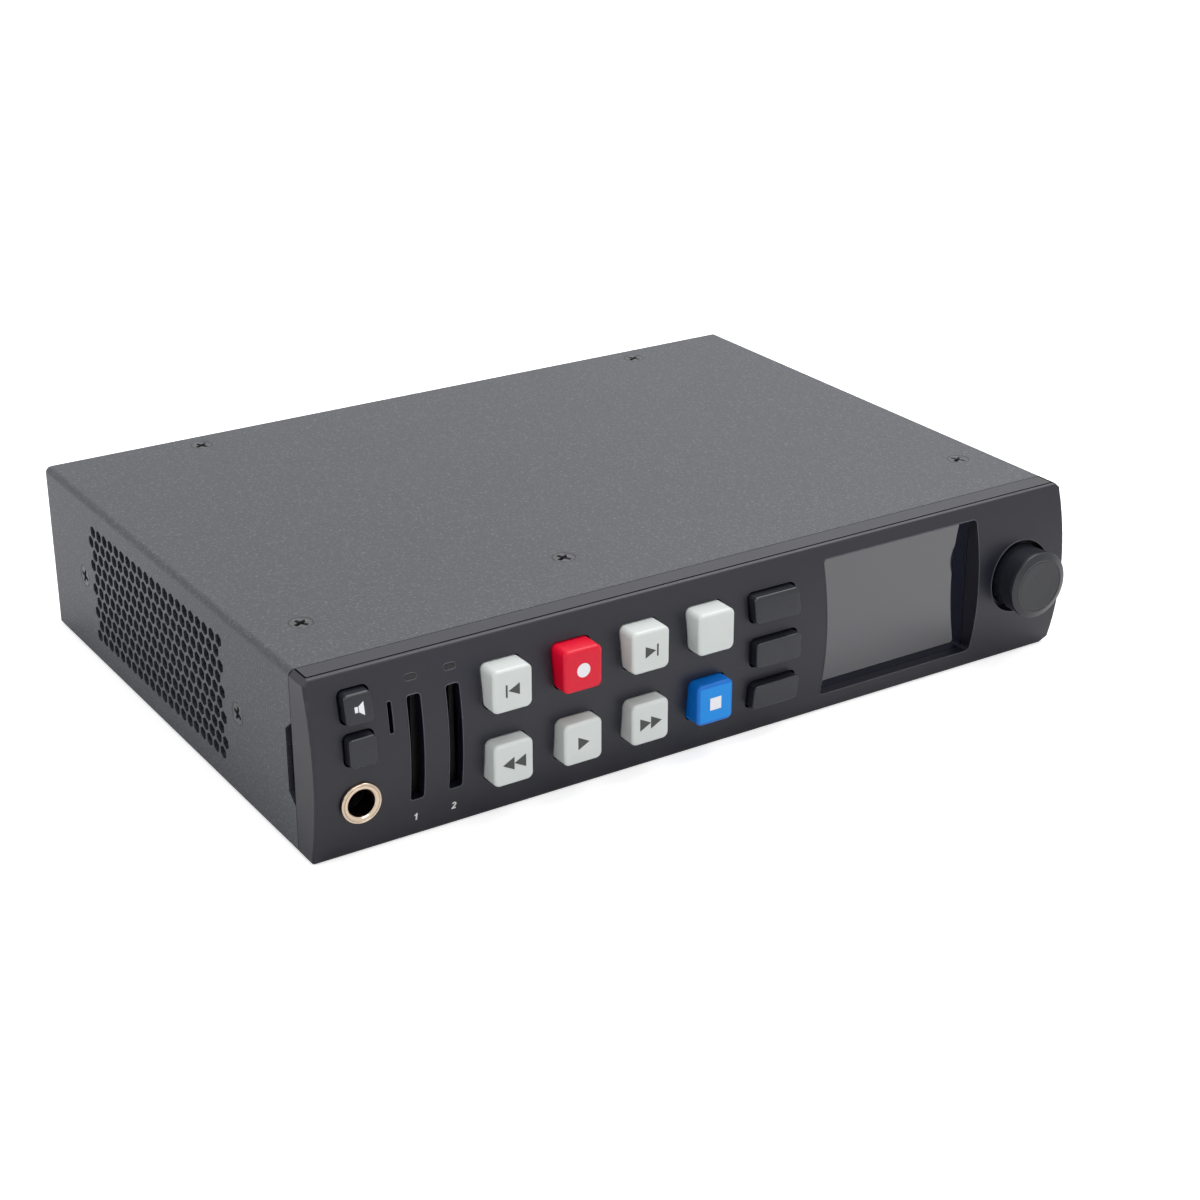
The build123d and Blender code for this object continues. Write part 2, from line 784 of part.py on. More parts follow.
# Switches: one housing under each key, with a well that the key's stem runs in
with BuildPart() as key_switches:
    with BuildSketch(front_plane(front_board_y)):
        for x, z, width, height in all_keys.values():
            with Locations((x, z)):
                Rectangle(switch_size, switch_size)
    extrude(amount=switch_height)
    with BuildSketch(front_plane(front_board_y - switch_floor)):
        for x, z, width, height in all_keys.values():
            with Locations((x, z)):
                Rectangle(stem + 2 * stem_gap, stem + 2 * stem_gap)
    extrude(amount=switch_height, mode=Mode.SUBTRACT)
keep(key_switches, "key_switches")


def key_back(x, z, width, height):
    """The retaining flange and the stem behind a key."""
    with BuildPart() as back:
        with BuildSketch(front_plane(flange_y)):
            with Locations((x, z)):
                Rectangle(width + 2 * flange_reach, height + 2 * flange_reach)
        extrude(amount=-flange_thickness)
        with BuildSketch(front_plane(seam_y + stem_back)):
            with Locations((x, z)):
                Rectangle(stem, stem)
        extrude(amount=-(switch_front - stem_back + stem_engagement))
    return back.part


# Square keys: straight caps with round corners and a bevel round the front
for name, (x, z, width, height) in square_keys.items():
    with BuildPart() as key:
        with BuildSketch(front_plane(key_face_y)):
            with Locations((x, z)):
                RectangleRounded(width, height, key_corner)
        extrude(amount=-(flange_y - key_face_y))
        chamfer(key.faces().sort_by(Axis.Y)[0].edges(), key_edge)
        add(key_back(x, z, width, height))
    keep(key, name)

# Dark keys: their faces follow the curve of the bezel
for name, (x, z, width, height) in dark_keys.items():
    with BuildPart() as key:
        with BuildSketch(Plane.YZ.offset(x - width / 2)):
            add(face_slice(dark_proud, flange_y, z - height / 2, z + height / 2))
        extrude(amount=width)
        fillet(key.edges().filter_by(Axis.Y), dark_corner)
        key_face = key.faces().filter_by(GeomType.CYLINDER).sort_by(SortBy.AREA)[-1]
        chamfer(key_face.edges(), dark_edge)
        add(key_back(x, z, width, height))
    keep(key, name)

# Card board, upright between the two sockets, its foot on the main board
main_front = seam_y + main_board_front
socket_front = flange_y - socket_wall
card_board_back = main_front + card_board_foot
with BuildPart() as card_board:
    block(
        (card_board_x - board / 2, socket_front + hide, board_top),
        (card_board_x + board / 2, card_board_back, socket_z[1]),
    )
keep(card_board, "card_board")

# Card sockets, one on each face of the board, and their push-push ejectors
ejector_z = slot_centre_z + card_width / 2 - ejector_height
for number, x in enumerate(slot_x, start=1):
    side = -1 if x < card_board_x else 1
    board_face = card_board_x + side * board / 2
    outer_face = x + side * socket_half
    socket_x = (min(board_face, outer_face), max(board_face, outer_face))
    channel_front = socket_front + card_depth - ejector_length
    block_low_x = min(x - side * card_thickness / 2, x - side * (card_thickness / 2 + ejector_width))
    with BuildPart() as card_socket:
        block(
            (socket_x[0], socket_front, socket_z[0]),
            (socket_x[1], socket_front + socket_reach, socket_z[1]),
        )
        block(
            (x - card_thickness / 2, socket_front - hide, slot_centre_z - card_width / 2),
            (x + card_thickness / 2, socket_front + card_depth, slot_centre_z + card_width / 2),
            Mode.SUBTRACT,
        )
        block(
            (block_low_x - seat, channel_front - seat, ejector_z - seat),
            (
                block_low_x + ejector_width + seat,
                channel_front + ejector_length + ejector_travel + seat,
                ejector_z + ejector_height + seat,
            ),
            Mode.SUBTRACT,
        )
    keep(card_socket, f"card_socket_{number}")
    with BuildPart() as card_ejector:
        block(
            (block_low_x, channel_front, ejector_z),
            (block_low_x + ejector_width, channel_front + ejector_length, ejector_z + ejector_height),
        )
    keep(card_ejector, f"card_ejector_{number}")

# Lamp lenses above the slots, flush with the face
with BuildPart() as slot_lamps:
    with BuildSketch(front_plane(face_y(lamp_z - lamp_height / 2) + lamp_length)):
        with Locations(*((x, lamp_z) for x in slot_x)):
            SlotOverall(lamp_width, lamp_height)
    extrude(amount=lamp_length)
keep(slot_lamps, "slot_lamps")

# Speaker behind the sound slot, on the side board
with BuildPart() as speaker:
    block(
        (side_board_right - speaker_thickness, socket_front, sound_z[0] - speaker_margin),
        (side_board_right, front_board_y, sound_z[1] + speaker_margin),
    )
keep(speaker, "speaker")

# Headphone jack: a moulded body behind the bezel and a turned sleeve through it
jack_front = seam_y - jack_front_step
sleeve_front = face_y(jack_z) - jack_sleeve_proud
with BuildPart() as jack_housing:
    block(
        (jack_low[0], jack_front, jack_low[1]),
        (jack_low[0] + jack_body, jack_front + jack_depth, jack_low[1] + jack_body),
    )
    fillet(jack_housing.edges().filter_by(Axis.Y), hide)
    with BuildSketch(front_plane(jack_front + jack_bore_depth)):
        with Locations((jack_x, jack_z)):
            Circle(jack_bore)
    extrude(amount=jack_bore_depth, mode=Mode.SUBTRACT)
keep(jack_housing, "jack_housing")

with BuildPart() as jack_sleeve:
    with BuildSketch(front_plane(jack_front)):
        with Locations((jack_x, jack_z)):
            Circle(jack_sleeve_neck)
    extrude(amount=jack_front - sleeve_front)
    with BuildSketch(front_plane(face_y(jack_z + jack_sleeve_radius) - seat)):
        with Locations((jack_x, jack_z)):
            Circle(jack_sleeve_radius)
    extrude(amount=face_y(jack_z + jack_sleeve_radius) - seat - sleeve_front)
    with BuildSketch(front_plane(jack_front + hide)):
        with Locations((jack_x, jack_z)):
            Circle(jack_bore)
    extrude(amount=bezel_bulge + hide, mode=Mode.SUBTRACT)
    chamfer(jack_sleeve.edges().filter_by(GeomType.CIRCLE).group_by(Axis.Y)[0], jack_mouth)
keep(jack_sleeve, "jack_sleeve")

# Search knob: a turned cap on the shaft, sunk into its round well
knob_front = bulge_y - knob_proud
knob_rear = bulge_y + knob_back
shaft_front = knob_front + 2 * knob_bevel + hide
with BuildPart() as search_knob:
    with BuildSketch(Plane.XY.offset(knob_z)):
        with BuildLine():
            Polyline(
                (knob_x, knob_front),
                (knob_x + knob_face_radius, knob_front),
                (knob_x + knob_rim_radius, knob_front + knob_bevel),
                (knob_x + knob_rim_radius, knob_front + knob_bevel + knob_rim),
                (knob_x + knob_radius, knob_front + knob_bevel + knob_rim + knob_rim_radius - knob_radius),
                (knob_x + knob_radius, knob_rear),
                (knob_x + knob_pocket_radius, knob_rear),
                (knob_x + knob_pocket_radius, knob_rear - knob_pocket),
                (knob_x + shaft_radius, knob_rear - knob_pocket),
                (knob_x + shaft_radius, shaft_front),
                (knob_x, shaft_front),
                close=True,
            )
        make_face()
    revolve(axis=Axis((knob_x, 0, knob_z), (0, 1, 0)))
keep(search_knob, "search_knob")

well_floor_front = bulge_y + well_depth
bushing_front = well_floor_front - knob_pocket - bushing_proud
encoder_front = well_floor_back + seat
with BuildPart() as encoder_body:
    block(
        (knob_x - encoder_size / 2, encoder_front, knob_z - encoder_size / 2),
        (knob_x + encoder_size / 2, front_board_y, knob_z + encoder_size / 2),
    )
    with BuildSketch(front_plane(encoder_front)):
        with Locations((knob_x, knob_z)):
            Circle(bushing_radius)
    extrude(amount=encoder_front - bushing_front)
    with BuildSketch(front_plane(front_board_y - hide)):
        with Locations((knob_x, knob_z)):
            Circle(shaft_radius + shaft_gap)
    extrude(amount=bezel_bulge, mode=Mode.SUBTRACT)
keep(encoder_body, "encoder_body")

with BuildPart() as knob_shaft:
    with BuildSketch(front_plane(front_board_y - hide - seat)):
        with Locations((knob_x, knob_z)):
            Circle(shaft_radius)
    extrude(amount=front_board_y - hide - seat - shaft_front)
keep(knob_shaft, "knob_shaft")

# Main board and power board on spacers
main_rear = rear_y - main_board_rear
power_rear = rear_y - power_board_rear
power_front = power_rear - power_board_length
main_holes = [
    (x, y)
    for x in (main_board_x[0] + board_hole_inset, main_board_x[1] - board_hole_inset)
    for y in (main_front + board_hole_inset, main_rear - board_hole_inset - coax_block)
]
power_holes = [
    (x, y)
    for x in (power_board_x[0] + board_hole_inset, power_board_x[1] - board_hole_inset)
    for y in (power_front + board_hole_inset, power_rear - board_hole_inset)
]
with BuildPart() as main_board:
    block((main_board_x[0], main_front, board_z), (main_board_x[1], main_rear, board_top))
    with Locations(*((x, y, board_top) for x, y in main_holes)):
        add(screw_hole(hole_gap, board + hide), mode=Mode.SUBTRACT)
keep(main_board, "main_board")

with BuildPart() as power_board:
    block((power_board_x[0], power_front, board_z), (power_board_x[1], power_rear, board_top))
    with Locations(*((x, y, board_top) for x, y in power_holes)):
        add(screw_hole(hole_gap, board + hide), mode=Mode.SUBTRACT)
keep(power_board, "power_board")

with BuildPart() as board_standoffs:
    with BuildSketch(Plane.XY.offset(sheet)):
        with Locations(*main_holes, *power_holes):
            RegularPolygon(standoff_radius, 6)
    extrude(amount=standoff)
    with Locations(*((x, y, board_z) for x, y in main_holes + power_holes)):
        add(screw_hole(thread_gap, standoff - hide), mode=Mode.SUBTRACT)
keep(board_standoffs, "board_standoffs")

with BuildPart() as board_screws:
    with BuildSketch(Plane.XY.offset(board_top)):
        with Locations(*main_holes, *power_holes):
            RegularPolygon(screw_head_radius, screw_sides)
    extrude(amount=screw_radius)
    with BuildSketch(Plane.XY.offset(board_top)):
        with Locations(*main_holes, *power_holes):
            RegularPolygon(screw_radius, screw_sides // 2)
    extrude(amount=-standoff)
keep(board_screws, "board_screws")

processor_centre = (main_board_x[0] + board_unit * processor_place[0], seam_y + processor_place[1])
with BuildPart() as video_processor:
    with BuildSketch(Plane.XY.offset(board_top)):
        with Locations(processor_centre):
            Rectangle(processor, processor)
    extrude(amount=processor_height)
keep(video_processor, "video_processor")

sink_pitch = (sink - sink_fin) / (sink_fins - 1)
with BuildPart() as heatsink:
    with BuildSketch(Plane.XY.offset(board_top + processor_height)):
        with Locations(processor_centre):
            Rectangle(sink, sink)
    extrude(amount=sink_base)
    with BuildSketch(Plane.XY.offset(board_top + processor_height + sink_base)):
        with Locations(processor_centre):
            with GridLocations(sink_pitch, sink, sink_fins, 1):
                Rectangle(sink_fin, sink)
    extrude(amount=sink_height - sink_base)
keep(heatsink, "heatsink")

cell_centre = (main_board_x[0] + board_unit * cell_place[0], seam_y + cell_place[1])
with BuildPart() as cell_holder:
    with BuildSketch(Plane.XY.offset(board_top)):
        with Locations(cell_centre):
            RectangleRounded(2 * (cell_radius + cell_rim), 2 * (cell_radius + cell_rim), 2 * cell_rim)
    extrude(amount=cell_height)
    with BuildSketch(Plane.XY.offset(board_top + hide)):
        with Locations(cell_centre):
            Circle(cell_radius + slip)
    extrude(amount=cell_height, mode=Mode.SUBTRACT)
keep(cell_holder, "cell_holder")

with BuildPart() as coin_cell:
    with BuildSketch(Plane.XY.offset(board_top + hide)):
        with Locations(cell_centre):
            Circle(cell_radius)
    extrude(amount=cell_height)
keep(coin_cell, "coin_cell")

core_centre = (power_board_x[0] + core_size[0] / 2 + core_step, (power_front + power_rear) / 2)
capacitor_x = power_board_x[1] - capacitor_radius - shell
with BuildPart() as transformer:
    with BuildSketch(Plane.XY.offset(board_top)):
        with Locations(core_centre):
            Rectangle(core_size[0] - 2 * core_step, core_size[1] - 2 * core_step)
    extrude(amount=core_size[2])
    for level in (0, core_size[2] - core_flange):
        with BuildSketch(Plane.XY.offset(board_top + level)):
            with Locations(core_centre):
                Rectangle(core_size[0], core_size[1])
        extrude(amount=core_flange)
keep(transformer, "transformer")

with BuildPart() as power_capacitors:
    with BuildSketch(Plane.XY.offset(board_top)):
        with Locations(
            (capacitor_x, core_centre[1] - capacitor_radius - hide),
            (capacitor_x, core_centre[1] + capacitor_radius + hide),
        ):
            Circle(capacitor_radius)
    extrude(amount=capacitor_height)
keep(power_capacitors, "power_capacitors")

# Side fan: a square frame against the cover's right side, and the rotor on its pin
fan_outer = cover_inside - seat
fan_inner = fan_outer - fan_thickness
fan_y = seam_y + fan_centre_y
with BuildPart() as fan_frame:
    with BuildSketch(Plane.YZ.offset(fan_inner)):
        with Locations((fan_y, fan_centre_z)):
            RectangleRounded(fan_size, fan_size, fan_corner)
    extrude(amount=fan_thickness)
    with BuildSketch(Plane.YZ.offset(fan_inner + fan_plate)):
        with Locations((fan_y, fan_centre_z)):
            Circle(fan_bore)
    extrude(amount=fan_thickness, mode=Mode.SUBTRACT)
    with BuildSketch(Plane.YZ.offset(fan_inner - hide)) as guard:
        with Locations((fan_y, fan_centre_z)):
            Circle(fan_bore)
            Circle(fan_hub, mode=Mode.SUBTRACT)
            Rectangle(2 * fan_bore, fan_strut, mode=Mode.SUBTRACT)
            Rectangle(fan_strut, 2 * fan_bore, mode=Mode.SUBTRACT)
    extrude(amount=fan_plate + 2 * hide, mode=Mode.SUBTRACT)
    with BuildSketch(Plane.YZ.offset(fan_inner + fan_plate)):
        with Locations((fan_y, fan_centre_z)):
            Circle(fan_pin)
    extrude(amount=fan_thickness / 2)
keep(fan_frame, "fan_frame")

rotor_inner = fan_inner + fan_plate + key_gap
rotor_length = fan_thickness - fan_plate - 2 * key_gap
blade_reach = fan_bore - fan_tip_gap
with BuildPart() as fan_rotor:
    with BuildSketch(Plane.YZ.offset(rotor_inner)):
        with Locations((fan_y, fan_centre_z)):
            Circle(fan_hub)
    extrude(amount=rotor_length)
    blade_middle = rotor_inner + rotor_length / 2
    blade_chord = (rotor_length - fan_blade) / sqrt(2) * 1.2
    for blade in range(fan_blades):
        turn = 360 / fan_blades * blade
        spot = Location((blade_middle, fan_y, fan_centre_z)) * Location((0, 0, 0), (turn, 0, 0))
        blade_out = (fan_hub + blade_reach - hide) / 2
        with Locations(spot * Location((0, 0, blade_out), (0, 0, fan_blade_tilt))):
            Box(blade_chord, fan_blade, blade_reach - fan_hub + hide)
    with BuildSketch(Plane.YZ.offset(rotor_inner - hide)):
        with Locations((fan_y, fan_centre_z)):
            Circle(4 * fan_bore)
            Circle(blade_reach, mode=Mode.SUBTRACT)
    extrude(amount=rotor_length + 2 * hide, mode=Mode.SUBTRACT)
    with BuildSketch(Plane.YZ.offset(rotor_inner - hide)):
        with Locations((fan_y, fan_centre_z)):
            Circle(fan_pin + shaft_gap)
    extrude(amount=fan_thickness / 2 + hide - key_gap + seat, mode=Mode.SUBTRACT)
keep(fan_rotor, "fan_rotor")

# Coaxial jacks: a die-cast block on the board and a hollow barrel through the rear panel
coax_front = panel_inner - coax_block - seat
coax_end = panel_face + coax_proud
with BuildPart() as coax_jacks:
    for x in coax_x:
        block(
            (x - coax_block / 2, coax_front, board_top),
            (x + coax_block / 2, panel_inner - seat, coax_z + coax_block / 2),
        )
    with BuildSketch(front_plane(panel_inner - seat)):
        with Locations(*((x, coax_z) for x in coax_x)):
            RegularPolygon(coax_hole - hole_gap, 6)
    extrude(amount=-(sheet + hide))
    with BuildSketch(front_plane(panel_face)):
        with Locations(*((x, coax_z) for x in coax_x)):
            Circle(coax_barrel)
    extrude(amount=-coax_proud)
    with BuildSketch(front_plane(coax_end - coax_proud / 3)):
        with Locations(*((x, coax_z) for x in coax_x)):
            Rectangle(2 * (coax_barrel + coax_lug), 2 * coax_lug)
    extrude(amount=2 * coax_lug)
    with BuildSketch(front_plane(coax_end)):
        with Locations(*((x, coax_z) for x in coax_x)):
            Circle(coax_bore)
            Circle(coax_pin, mode=Mode.SUBTRACT)
    extrude(amount=coax_proud - hide, mode=Mode.SUBTRACT)
keep(coax_jacks, "coax_jacks")


def shell_port(x, inner, depth):
    """A rectangular metal shell on the board, open to the rear."""
    with BuildPart() as port:
        block(
            (x - inner[0] / 2 - shell, panel_face - depth - shell, board_top),
            (x + inner[0] / 2 + shell, panel_face + shell, board_top + inner[1] + 2 * shell),
        )
        block(
            (x - inner[0] / 2, panel_face - depth, board_top + shell),
            (x + inner[0] / 2, panel_face + hide, board_top + shell + inner[1]),
            Mode.SUBTRACT,
        )
    return port.part


with BuildPart() as hdmi_ports:
    for x in hdmi_x:
        add(shell_port(x, hdmi_inner, hdmi_depth))
keep(hdmi_ports, "hdmi_ports")

with BuildPart() as usb_port:
    add(shell_port(usb_x, usb_inner, usb_depth))
    fillet(usb_port.edges().filter_by(Axis.Y), usb_inner[1] * 0.35)
keep(usb_port, "usb_port")

with BuildPart() as network_jack:
    block(
        (network_x - network_size[0] / 2, panel_face - network_depth, board_top),
        (network_x + network_size[0] / 2, panel_face + shell, board_top + network_size[1]),
    )
    block(
        (network_x - network_hole[0] / 2, panel_face - network_depth * 0.7, board_top + 2 * shell),
        (network_x + network_hole[0] / 2, panel_face + hide, board_top + 2 * shell + network_hole[1]),
        Mode.SUBTRACT,
    )
keep(network_jack, "network_jack")

# Remote port: a flange behind the panel, its D-shaped shell through it, and two jackscrews
with BuildPart() as remote_port:
    with BuildSketch(front_plane(panel_inner - seat)):
        with Locations((remote_x, remote_z)):
            RectangleRounded(*remote_flange, hide)
    extrude(amount=hide)
    with BuildSketch(front_plane(panel_inner - seat)) as shell_outline:
        with Locations((remote_x, remote_z)):
            Trapezoid(remote_shell[0], remote_shell[1], 100, align=(Align.CENTER, Align.CENTER))
        fillet(shell_outline.vertices(), hide)
    extrude(amount=-remote_proud)
    with BuildSketch(front_plane(panel_inner + remote_proud)) as contact_face:
        with Locations((remote_x, remote_z)):
            Trapezoid(remote_shell[0], remote_shell[1], 100, align=(Align.CENTER, Align.CENTER))
        fillet(contact_face.vertices(), hide)
        offset(amount=-shell)
    extrude(amount=remote_proud, mode=Mode.SUBTRACT)
    block(
        (remote_x - remote_shell[0] / 2, panel_inner - flange, remote_z - remote_shell[1] / 2),
        (remote_x + remote_shell[0] / 2, panel_inner - hide, remote_z + remote_shell[1] / 2),
    )
keep(remote_port, "remote_port")

with BuildPart() as remote_jackscrews:
    with BuildSketch(front_plane(panel_face)):
        with Locations(*remote_screw_places):
            RegularPolygon(jackscrew_radius, 6)
    extrude(amount=-jackscrew_length)
    with BuildSketch(front_plane(panel_face)):
        with Locations(*remote_screw_places):
            Circle(screw_radius)
    extrude(amount=sheet)
    with BuildSketch(front_plane(panel_face + jackscrew_length)):
        with Locations(*remote_screw_places):
            Circle(jackscrew_hole)
    extrude(amount=jackscrew_length - shell, mode=Mode.SUBTRACT)
keep(remote_jackscrews, "remote_jackscrews")

# Mains inlet: a moulded body through the panel with a rim on its outside and three flat pins
inlet_back = panel_face + inlet_rim_thickness
cavity_floor = inlet_back - inlet_cavity_depth
with BuildPart() as power_inlet:
    with BuildSketch(front_plane(panel_face)):
        with Locations((inlet_x, inlet_z)):
            Rectangle(*inlet_body)
    extrude(amount=inlet_depth)
    with BuildSketch(front_plane(panel_face)):
        with Locations((inlet_x, inlet_z)):
            RectangleRounded(*inlet_rim, 2 * hide)
    extrude(amount=-inlet_rim_thickness)
    with BuildSketch(front_plane(inlet_back)) as cavity:
        with Locations((inlet_x, inlet_z)):
            Rectangle(*inlet_cavity)
        chamfer(cavity.vertices().group_by(Axis.Y)[-1], inlet_cavity[1] / 4)
    extrude(amount=inlet_cavity_depth, mode=Mode.SUBTRACT)
keep(power_inlet, "power_inlet")

with BuildPart() as inlet_pins:
    with BuildSketch(front_plane(cavity_floor)):
        with Locations(
            (inlet_x - inlet_pin_spread, inlet_z - inlet_pin[1] / 2),
            (inlet_x, inlet_z + inlet_pin[1] / 2),
            (inlet_x + inlet_pin_spread, inlet_z - inlet_pin[1] / 2),
        ):
            Rectangle(inlet_pin[0], inlet_pin[1])
    extrude(amount=-inlet_pin[2])
keep(inlet_pins, "inlet_pins")

# Ribbon cable through the bracket, and its two plugs
ribbon_start = front_board_y + board + ribbon_plug[1]
ribbon_end = main_front + 2 * ribbon_plug[1]
ribbon_low = board_top + ribbon_plug[2] / 2
with BuildPart() as ribbon_cable:
    with BuildSketch(Plane.YZ.offset(ribbon_x - ribbon_width / 2)):
        with BuildLine():
            FilletPolyline(
                (ribbon_start, ribbon_z),
                (bracket_back + 2 * ribbon_bend, ribbon_z),
                (main_front - ribbon_bend, ribbon_low),
                (ribbon_end, ribbon_low),
                radius=ribbon_bend,
            )
        trace(line_width=ribbon_thickness)
    extrude(amount=ribbon_width)
keep(ribbon_cable, "ribbon_cable")

with BuildPart() as ribbon_plugs:
    block(
        (ribbon_x - ribbon_plug[0] / 2, front_board_y + board, ribbon_z - ribbon_plug[2] / 2),
        (ribbon_x + ribbon_plug[0] / 2, ribbon_start, ribbon_z + ribbon_plug[2] / 2),
    )
    block(
        (ribbon_x - ribbon_plug[0] / 2, ribbon_end, board_top),
        (ribbon_x + ribbon_plug[0] / 2, ribbon_end + ribbon_plug[1], board_top + ribbon_plug[2]),
    )
keep(ribbon_plugs, "ribbon_plugs")

# Screws that hold the cover, and those that come up through the tray
with BuildPart() as cover_screws:
    with Locations(*top_screw_places, *side_screw_places):
        add(flat_screw(screw_length))
keep(cover_screws, "cover_screws")

with BuildPart() as tray_screws:
    with Locations(*under_screw_locations):
        add(flat_screw(under_screw_length))
keep(tray_screws, "tray_screws")
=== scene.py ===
"""Looks of a half-rack video recorder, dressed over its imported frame. All places are in metres."""

import json
import logging
import math
from dataclasses import dataclass, field
from enum import Enum
from typing import Any

import bmesh
import bpy
import numpy as np
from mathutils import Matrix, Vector

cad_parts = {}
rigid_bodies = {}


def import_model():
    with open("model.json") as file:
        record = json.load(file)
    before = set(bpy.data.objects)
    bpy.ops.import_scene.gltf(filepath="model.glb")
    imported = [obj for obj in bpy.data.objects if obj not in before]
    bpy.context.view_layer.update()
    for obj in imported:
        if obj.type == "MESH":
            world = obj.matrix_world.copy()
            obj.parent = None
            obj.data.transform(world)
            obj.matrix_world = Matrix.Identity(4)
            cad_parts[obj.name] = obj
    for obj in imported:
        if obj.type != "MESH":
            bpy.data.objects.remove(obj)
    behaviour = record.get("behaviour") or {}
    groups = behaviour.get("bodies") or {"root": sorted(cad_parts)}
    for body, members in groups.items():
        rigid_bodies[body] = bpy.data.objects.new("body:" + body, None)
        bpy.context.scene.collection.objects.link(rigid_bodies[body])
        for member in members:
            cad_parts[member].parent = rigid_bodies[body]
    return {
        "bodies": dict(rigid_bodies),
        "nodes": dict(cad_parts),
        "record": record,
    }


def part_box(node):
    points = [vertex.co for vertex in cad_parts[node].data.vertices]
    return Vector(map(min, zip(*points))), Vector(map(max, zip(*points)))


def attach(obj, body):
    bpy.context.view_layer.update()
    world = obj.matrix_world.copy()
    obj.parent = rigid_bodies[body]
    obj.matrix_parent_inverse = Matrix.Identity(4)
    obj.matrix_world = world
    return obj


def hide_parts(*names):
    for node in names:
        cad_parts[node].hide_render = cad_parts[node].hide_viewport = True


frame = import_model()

LOG = logging.getLogger("video_recorder")
MM = 0.001
CASE = "case"
WELD = 1e-7
TINY = 1e-9
WHITE = (1.0, 1.0, 1.0)
CORNER_POINTS = 8
SHORT_RUN = 0.45

Colour = tuple[float, float, float]
Place = tuple[float, float, float]
Spot = tuple[float, float]


class Slot(Enum):
    """The record's material slots."""

    COVER = "cover_paint"
    BEZEL = "bezel_plastic"
    ZINC = "zinc_steel"
    SCREW = "screw_steel"
    WHITE = "key_white"
    RED = "key_red"
    BLUE = "key_blue"
    DARK = "key_dark"
    KNOB = "knob_plastic"
    GLASS = "display_glass"
    PANEL = "display_panel"
    BOARD = "circuit_board"
    BLACK = "black_plastic"
    NICKEL = "nickel"
    SHAFT = "shaft_steel"
    CHIP = "chip_epoxy"
    SINK = "black_aluminium"
    CELL = "cell_steel"
    COPPER = "winding_copper"
    SLEEVE = "capacitor_sleeve"
    LAMP = "lamp_lens"
    RIBBON = "ribbon"


def from_screen(red: int, green: int, blue: int) -> Colour:
    """Turns a colour as a screen shows it into the linear one that a shader takes.

    The curve is the usual screen one: straight in the darks, a power of 2.4 above them.

    Args:
        red: Red, 0 to 255.
        green: Green, 0 to 255.
        blue: Blue, 0 to 255.

    Returns:
        The three linear values.
    """
    shown = np.array((red, green, blue)) / 255.0
    straight = np.where(shown <= 0.04045, shown / 12.92, ((shown + 0.055) / 1.055) ** 2.4)
    return tuple(float(value) for value in straight)


def shade(colour: Colour, factor: float) -> Colour:
    """A colour made darker or lighter by a factor, at most white."""
    return tuple(min(1.0, part * factor) for part in colour)


class Value:
    """A shader socket that takes part in Python expressions."""

    def __init__(self, graph: "Graph", socket: Any) -> None:
        """Keeps the socket and the graph that it belongs to."""
        self.graph = graph
        self.socket = socket

    def _maths(self, operation: str, *values: Any) -> "Value":
        """Adds a Math node that works on the values."""
        return self.graph.node("ShaderNodeMath", dict(enumerate(values)), {"operation": operation})

    def __add__(self, other: Any) -> "Value":
        """Sum."""
        return self._maths("ADD", self, other)

    __radd__ = __add__

    def __sub__(self, other: Any) -> "Value":
        """Difference."""
        return self._maths("SUBTRACT", self, other)

    def __rsub__(self, other: Any) -> "Value":
        """Difference, the other way round."""
        return self._maths("SUBTRACT", other, self)

    def __mul__(self, other: Any) -> "Value":
        """Product."""
        return self._maths("MULTIPLY", self, other)

    __rmul__ = __mul__

    def __lt__(self, other: Any) -> "Value":
        """One where this value is the smaller, else zero."""
        return self._maths("LESS_THAN", self, other)

    def __gt__(self, other: Any) -> "Value":
        """One where this value is the larger, else zero."""
        return self._maths("GREATER_THAN", self, other)

    def __abs__(self) -> "Value":
        """Size without its sign."""
        return self._maths("ABSOLUTE", self)

    def larger(self, other: "Value") -> "Value":
        """The larger of two values."""
        return self._maths("MAXIMUM", self, other)

    def sine(self) -> "Value":
        """Sine of an angle in radians."""
        return self._maths("SINE", self)

    def wave(self, length: float) -> "Value":
        """Waves of a length, between 0 and 1."""
        return (self * (math.tau / length)).sine() * 0.5 + 0.5

    def ramp(self, low: float, high: float) -> "Value":
        """Zero below low, one above high and smooth between."""
        values = {"Value": self, "From Min": low, "From Max": high}
        return self.graph.node("ShaderNodeMapRange", values, {"interpolation_type": "SMOOTHSTEP"})


